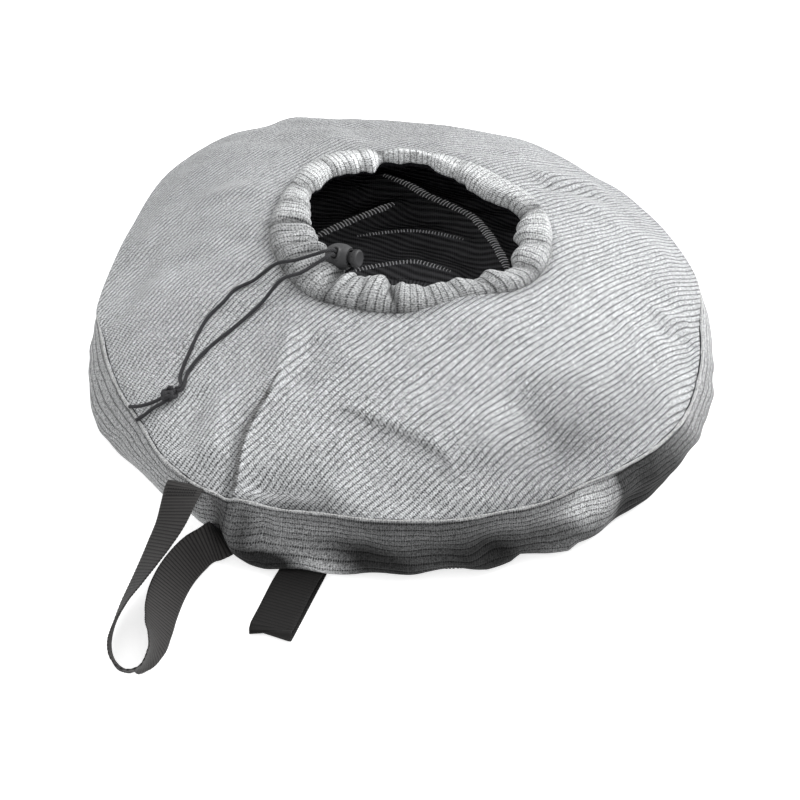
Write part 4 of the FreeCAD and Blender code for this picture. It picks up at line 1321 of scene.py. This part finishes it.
def about_plunger(along, radius, angle):
    radial = np.cos(angle)[..., None] * CORD_AXIS + np.sin(angle)[..., None] * SIDE_AXIS
    return LOCK + along[..., None] * PLUNGER_AXIS + radius[..., None] * radial


def lathe(name, profile):
    along, radius = np.array(profile, float).T[:, :, None]
    return grid_mesh(name, about_plunger(along, radius, around(64, 0)), close_v=True)


def build_lock():
    # Barrel, with a sunk cord hole and raised lip where the cord axis passes through.
    stations = np.linspace(-15.0, 11.0, 90)
    section = np.pad(table_at(stations, BARREL_PROFILE), 3, mode="edge")
    section = np.convolve(section, np.ones(7) / 7, mode="valid")
    along, angle = grid(stations, around(128, 0))
    sideways = np.abs(section[:, None] * np.sin(angle))
    from_hole = np.hypot(np.maximum(sideways - 2.0, 0), along)
    lip = 1.5 * bump(from_hole, 3.9, 1.15)
    dip = -6.5 * fade(from_hole, 1.9, 3.0)
    barrel = grid_mesh("cord_lock_barrel",
                       about_plunger(along, section[:, None] + (lip + dip), angle), close_v=True)
    body = join("cord_lock_barrel", [barrel, lathe("cord_lock_face", FACE_PROFILE)])
    ride(paint(body, PLASTIC), "cord_lock", "lock_plastic", "cord_lock_body")

    parts = [lathe("cord_lock_button", BUTTON_PROFILE)]
    for k in range(RIDGE_COUNT):
        angle = TAU * k / RIDGE_COUNT
        radial = math.cos(angle) * CORD_AXIS + math.sin(angle) * SIDE_AXIS
        tangent = -math.sin(angle) * CORD_AXIS + math.cos(angle) * SIDE_AXIS
        vertices = [LOCK + PLUNGER_AXIS * along + radial * radius + tangent * sideways
                    for along in RIDGE_ENDS for sideways, radius in RIDGE_SECTION]
        parts.append(raw_mesh("ridge_%d" % k, vertices, RIDGE_FACES, shade_smooth=False))
    button = join("cord_lock_button", parts)
    ride(paint(button, PLASTIC), "lock_button", "lock_plastic", "cord_lock_plunger")
    paint(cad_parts["cord_lock_spring"], STEEL)


# ------------------------------------------------------------------ drawcord
CORD_EXIT = math.radians(-137.0)
CORD_HALF_GAP = 2.0  # the two strands' distance either side of the lock's cord axis
# From the lock to the collar: radius about its centre, degrees off the exit, z.
EXIT_STATIONS = [(71.5, 1.6, 130.6), (78.0, 2.6, 129.6), (86.0, 3.5, 134.0), (93.0, 4.0, 139.3),
                 (98.5, 4.0, 141), (101.6, 5.2, 141), (103.5, 8.0, 141)]
TAIL_RADIUS = 1.72
KNOT_STRAND_RADIUS = 1.95
KNOT = np.array([-212.0, -173.0, 0.0])
KNOT[2] = panel_height(KNOT[0], KNOT[1])[0] + 6.4
KNOT_AXIS = unit(np.array([-0.78, -0.52, -0.30]))
KNOT_SIDE = unit(np.cross(UP, KNOT_AXIS))
KNOT_UP = np.cross(KNOT_AXIS, KNOT_SIDE)


def knot_point(along, side, up):
    return KNOT + KNOT_AXIS * along + KNOT_SIDE * side + KNOT_UP * up


def exit_strand(side):
    """One strand from inside the lock down and out into the collar; side is -1 or 1."""
    points = [LOCK + CORD_AXIS * along + SIDE_AXIS * (CORD_HALF_GAP * side)
              for along in (8.0, 0, -9, -16, -21)]
    points += [polar(radius, CORD_EXIT - side * math.radians(degrees), z, COLLAR_CENTRE)
               for radius, degrees, z in EXIT_STATIONS]
    return points


def tail(name, side, over_collar, on_panel, into_knot):
    """Tail out of the lock's top, over the collar and down the panel into the knot."""
    points = [LOCK + CORD_AXIS * along + SIDE_AXIS * (offset * side)
              for along, offset in ((9.5, 2.0), (13.5, 2.0), (17.4, 2.1))]
    points += [np.array(point, float) for point in over_collar]
    points += list(drape(on_panel)) + [knot_point(*point) for point in into_knot]
    return cord(name, catmull(points, 8), TAIL_RADIUS)


def tail_end(name, out_of_knot, on_panel):
    points = [knot_point(*point) for point in out_of_knot] + list(drape(on_panel))
    return cord(name, catmull(points, 8), TAIL_RADIUS)


def build_drawcord():
    path = exit_strand(-1)
    for degrees in range(16, 345, 6):
        angle = CORD_EXIT + math.radians(degrees)
        path.append(polar(float(collar_inner(angle)) + 14.5, angle, 136.0, COLLAR_CENTRE))
    path += exit_strand(1)[::-1]
    ring = cord("drawcord_in_collar", catmull(path, 5), 1.7)
    ride(paint(ring, CORD), "outer_side", "cord", "drawcord_ring")

    upper = tail("tail_upper", 1,
                 [(-70.6, -67.0, 167.8), (-79.4, -67.6, 164.8), (-97, -66.5, 157.2),
                  (-116, -64.5, 150.8)],
                 [(-137, -65.5, 4.2), (-155, -69.5, 2.2), (-166, -82, 2.0), (-182, -97, 2.0),
                  (-196, -129, 2.0), (-203, -151, 2.6)],
                 [(-14, -1.5, -1.5), (-8, -2.0, 0.0)])
    lower = tail("tail_lower", -1,
                 [(-68.2, -71.5, 164.2), (-76.0, -75.0, 161.0), (-91, -82, 155.0),
                  (-110, -86.5, 149.4)],
                 [(-129, -98, 3.8), (-152, -114, 2.2), (-178, -131, 2.0), (-195, -149, 2.2)],
                 [(-14, 2.0, -1.5), (-8, 2.0, 0.0)])

    # Knot: two looped strands round a thicker core.
    turn = around(90, 0)
    along = 5.4 * np.cos(2 * turn) * (1 + 0.32 * np.cos(3 * turn))
    side = 4.3 * (np.sin(turn) + 0.9 * np.sin(2 * turn)) * 0.72
    up = 3.4 * np.sin(3 * turn)
    knot_parts = []
    for name, strand in (("knot_strand_a", (along * 0.95, side, up)),
                         ("knot_strand_b", (along * 0.6 + 1.2, -side, up * 0.75 + 0.8))):
        points = [knot_point(*point) for point in zip(*strand)]
        knot_parts.append(cord(name, points, KNOT_STRAND_RADIUS, closed=True))
    core = [knot_point(*point) for point in
            ((-7.5, -0.6, -0.4), (-3, 0.3, 0), (1.5, -0.3, 0.2), (7.5, 0.5, -0.4))]
    core_radii = np.concatenate([np.linspace(2.4, 3.6, 12), np.linspace(3.6, 2.4, 13)])
    knot_parts.append(cord("knot_core", catmull(core, 8), core_radii))

    upper_end = tail_end("tail_upper_end", [(2, -1.6, 0), (8, -2.6, -0.6)],
                         [(-230, -173.5, 3.3), (-241, -171.5, 2.7), (-251, -167.5, 2.7)])
    lower_end = tail_end("tail_lower_end", [(2, 1.8, 0), (7.5, 3.2, -0.8)],
                         [(-226, -180.5, 3.4), (-235, -183.5, 2.7), (-243, -186, 2.6)])
    upper = join("drawcord_tail_upper_cord", [upper, upper_end])
    lower = join("drawcord_tail_lower_cord", [lower, lower_end])
    knot = join("tail_overhand_knot", knot_parts)
    # A short span from the lock's top toward the collar.
    start = LOCK + CORD_AXIS * 14.5
    end = start + (np.array([-76.0, -71.0, 164.0]) - start) * 0.95
    span = (tuple(start * MM), tuple(end * MM))
    blend(paint(upper, CORD), "cord_lock", "cord_tails", span, "cord", "drawcord_tail_upper")
    blend(paint(lower, CORD), "cord_lock", "cord_tails", span, "cord", "drawcord_tail_lower")
    ride(paint(knot, CORD), "cord_tails", "cord", "tail_knot")


# ------------------------------------------------------------------ webbing
WEB_THICKNESS = 1.7
WEB_COLUMNS = 22
# Pull loop: x, y, z of the tape's centre, then its width direction.
PULL_LOOP_STATIONS = np.array([
    (-190.0, -262.5, 58.5, 29, -20.6, 3), (-192.6, -270.6, 59.5, 29, -20.6, 4),
    (-196.5, -287, 57, 28, -18, 9), (-201.5, -303.8, 52, 27.4, -16.4, 14),
    (-209.7, -320.5, 45, 26.3, -15, 19), (-218.1, -335.5, 38, 22, -18, 22),
    (-227.8, -352.5, 30.5, 14, -24, 22.5), (-238.0, -371.5, 23.7, 7, -26.5, 23.3),
    (-245.0, -394, 19.4, 4, -26.5, 24), (-245.8, -416.0, 19.1, 4.5, -24.5, 26),
    (-240.6, -432.5, 18.9, 5, -22.5, 27.6), (-230.5, -441.6, 18.2, 3, -21.5, 28.7),
    (-219.6, -440.4, 18.5, -0.5, -21, 29.2), (-212.3, -429.0, 19.1, -4.5, -21.5, 27.6),
    (-208.8, -412.5, 17.9, -9.0, -23.0, 24.2), (-207.9, -393.0, 16.2, -14.0, -22.5, 22.2),
    (-207.0, -373.0, 15.0, -19.5, -20.0, 20.5), (-204.2, -354.0, 14.4, -24.8, -16.7, 19.5),
    (-198.6, -335.2, 14.5, -27.2, -12.2, 19.7), (-190.4, -318.6, 15.2, -28.1, -8.6, 20.6),
    (-180.6, -305.2, 16.0, -28.0, -4.5, 22), (-169.0, -295.5, 16.9, -26.2, -2.2, 24),
    (-160.5, -288.0, 13.4, -26.0, -1.5, 15), (-152.5, -280.0, 8.6, -25.5, -1.5, 6.5),
    (-147.0, -270.5, 5.0, -25.0, -1.5, 2.5)])
PULL_LOOP_WIDTH = 36.0
PULL_LOOP_SPAN = ((-0.186, -0.283, 0.036), (-0.206, -0.338, 0.036))  # metres
# Lower loop: its root, the way it points, and its width direction.
LOWER_ROOT = np.array([-78.1595, -300.0588, 0.0])
LOWER_OUT = np.array([-0.3448714, -0.9386499, 0.0])
LOWER_ACROSS = np.array([0.9386499, -0.3448714, 0.0])
LOWER_LOOP_WIDTH = 38.0
# Distance out from the root, z.
LOWER_PROFILE = [(4, 1.5), (12, 1.3), (24, 1.3), (40, 1.5), (60, 1.3), (80, 1.3), (91, 1.35),
                 (94.5, 1.7), (96.2, 2.9), (95.6, 4.4), (93.0, 5.3), (88, 5.6), (74, 5.9),
                 (60, 7.0), (44, 8.0), (32, 7.2), (22, 6.0), (12, 5.6), (4, 6.4)]


def tape(name, centres, widths, width):
    """Closed webbing along centres: cross ribs, thinner scalloped edges, closed ends."""
    widths = unit(widths)
    tangents = unit(np.gradient(centres, axis=0))
    widths = unit(widths - tangents * (widths * tangents).sum(1)[:, None])
    normals = np.cross(tangents, widths)
    lengths = arc_length(centres)
    count = int(lengths[-1] / (WEB_PITCH / 5))
    run = np.linspace(0, lengths[-1], count)
    centres, widths, normals = (at_length(run, lengths, values)[:, None]
                                for values in (centres, widths, normals))
    u = np.linspace(-1, 1, WEB_COLUMNS)
    half_thickness = WEB_THICKNESS / 2 * (1 - 0.55 * np.abs(u) ** 14)
    ridge = 0.20 * np.cos(TAU * run / WEB_PITCH)
    scallop = 0.25 * np.abs(np.sin(math.pi * run / WEB_PITCH))
    sideways = u * (width / 2 + np.abs(u) ** 20 * scallop[:, None])
    lift = normals * (half_thickness + ridge[:, None])[..., None]
    points = np.concatenate([centres + widths * sideways[..., None] + lift,
                             centres + widths * sideways[:, ::-1, None] - lift], 1)
    rib = np.concatenate([u, u[::-1]]) * width / 2
    made = grid_mesh(name, points, close_v=True, attributes={"rib": rib, "run": run[:, None]})
    ring = 2 * WEB_COLUMNS
    add_end_faces(made, [(row + k, row + k + 1, row + ring - 2 - k, row + ring - 1 - k)
                         for row in (0, (count - 1) * ring) for k in range(WEB_COLUMNS - 1)])
    return made


def tack_rows(name, centres, widths, start):
    """Three rows of stitches across the tape, the first at `start` along it."""
    rows = []
    lengths = arc_length(centres)
    for k in range(3):
        place = start + k * 3.2
        centre = at_length(place, lengths, centres)
        across = at_length(place, lengths, widths)
        tangent = unit(at_length(place + 1, lengths, centres) - centre)
        across = unit(across - tangent * across.dot(tangent))
        normal = np.cross(tangent, across)
        if normal[2] < -0.2:
            normal = -normal
        path = [centre + normal + across * offset for offset in np.linspace(-15, 15, 24)]
        rows.append(dashes("row%d" % k, path, step=2.4, length=2.4 * 0.72, radius=0.3,
                           material=BLACK_THREAD, normal=normal, arch=0.28))
    return join(name, rows)


def build_pull_loop():
    centres = catmull(PULL_LOOP_STATIONS[:, :3], 14)
    widths = catmull(unit(PULL_LOOP_STATIONS[:, 3:]), 14)
    loop = tape("pull_loop_tape", centres, widths, PULL_LOOP_WIDTH)
    blend(paint(loop, CHARCOAL_WEB), "inner_side", "pull_loop", PULL_LOOP_SPAN, "webbing",
          "pull_loop_webbing", "pull_loop_upper_tab", "pull_loop_lower_tab")
    ride(tack_rows("pull_loop_upper_stitches", centres, widths, start=9), "inner_side",
         "thread_dark", "pull_loop_upper_tack")
    ride(tack_rows("pull_loop_lower_stitches", centres[::-1], widths[::-1], start=31),
         "inner_side", "thread_dark", "pull_loop_lower_tack")


def build_lower_loop():
    """Short flat loop: two layers with a squashed fold at the end."""
    out, z = catmull(LOWER_PROFILE, 10).T[:, :, None]
    along = np.linspace(0, 1, len(out))
    # The upper layer lies slightly to one side.
    shift = 1.8 * plateau(along, 0.46, 0.62, 0.86, 1.0)[:, None]
    centres = LOWER_ROOT + LOWER_OUT * out + UP * z - LOWER_ACROSS * shift
    sway = 0.05 * np.sin(np.linspace(0, 5, len(out)))[:, None]
    loop = tape("lower_loop_tape", centres, LOWER_ACROSS + LOWER_OUT * sway, LOWER_LOOP_WIDTH)
    span = tuple(tuple((LOWER_ROOT + LOWER_OUT * reach) * MM) for reach in (8, 27))
    blend(paint(loop, BLACK_WEB), "inner_side", "lower_loop", span, "webbing",
          "lower_loop_webbing", "lower_loop_tab")
    rows = []
    for k, reach in enumerate((9.5, 12.5)):
        path = [LOWER_ROOT + LOWER_OUT * reach + LOWER_ACROSS * offset + UP * 6.8
                for offset in np.linspace(-15, 15, 24)]
        rows.append(dashes("lower_row%d" % k, path, step=2.4, length=1.7, radius=0.3,
                           material=BLACK_THREAD, arch=0.25))
    ride(join("lower_loop_stitches", rows), "inner_side", "thread_dark", "lower_loop_tack")


# ------------------------------------------------------------------ stage, in metres
def build_floor():
    half, z = 6, -0.0006
    mesh = bpy.data.meshes.new("floor")
    mesh.from_pydata([(-half, -half, z), (half, -half, z), (half, half, z), (-half, half, z)],
                     [], [(0, 1, 2, 3)])
    floor = link_object("floor", mesh)
    floor.data.materials.append(floor_paper("floor_paper"))


def build_world():
    """White surroundings, brighter to the camera than as a light."""
    world = bpy.data.worlds.new("studio")
    world.use_nodes = True
    nodes, links = world.node_tree.nodes, world.node_tree.links
    nodes.clear()
    output = nodes.new("ShaderNodeOutputWorld")
    backgrounds = []
    for strength in (0.62, 1.0):
        background = nodes.new("ShaderNodeBackground")
        background.inputs["Color"].default_value = (1, 1, 1, 1)
        background.inputs["Strength"].default_value = strength
        backgrounds.append(background)
    light_path = nodes.new("ShaderNodeLightPath")
    mixer = nodes.new("ShaderNodeMixShader")
    links.new(light_path.outputs["Is Camera Ray"], mixer.inputs[0])
    links.new(backgrounds[0].outputs[0], mixer.inputs[1])
    links.new(backgrounds[1].outputs[0], mixer.inputs[2])
    links.new(mixer.outputs[0], output.inputs[0])
    bpy.context.scene.world = world


def area_light(name, location, size, power):
    """Square area light aimed at a point just above the floor's centre."""
    light = bpy.data.lights.new(name, "AREA")
    light.energy = power
    light.size = size
    lamp = bpy.data.objects.new(name, light)
    lamp.location = location
    aim = Vector((0, 0, 0.1)) - Vector(location)
    lamp.rotation_euler = aim.to_track_quat("-Z", "Y").to_euler()
    bpy.context.scene.collection.objects.link(lamp)


def build_camera():
    """Camera in front of the cover, looking back and down at it."""
    camera = bpy.data.cameras.new("cam")
    camera.lens = 85.7
    camera.sensor_width = 36
    camera.clip_end = 50
    holder = link_object("cam", camera)
    holder.location = (0, -1.45548, 1.28130)
    look_down, yaw = 43.185, -0.039  # degrees
    holder.rotation_euler = (math.radians(90 - look_down), 0, math.radians(yaw))
    bpy.context.scene.camera = holder
    bpy.context.scene.view_settings.view_transform = "Standard"


build_outer_panel()
build_collar()
build_band()
build_round_seams()
build_closing_seams()
build_inner_side()
build_lock()
build_drawcord()
build_pull_loop()
build_lower_loop()
build_floor()
build_world()
area_light("key", location=(1.6, 0.7, 1.3), size=1.1, power=44)
area_light("top", location=(0.2, 0.8, 2.3), size=1.8, power=18)
area_light("fill", location=(-1.6, -1.2, 1.4), size=1.6, power=3)
build_camera()

bpy.context.view_layer.update()
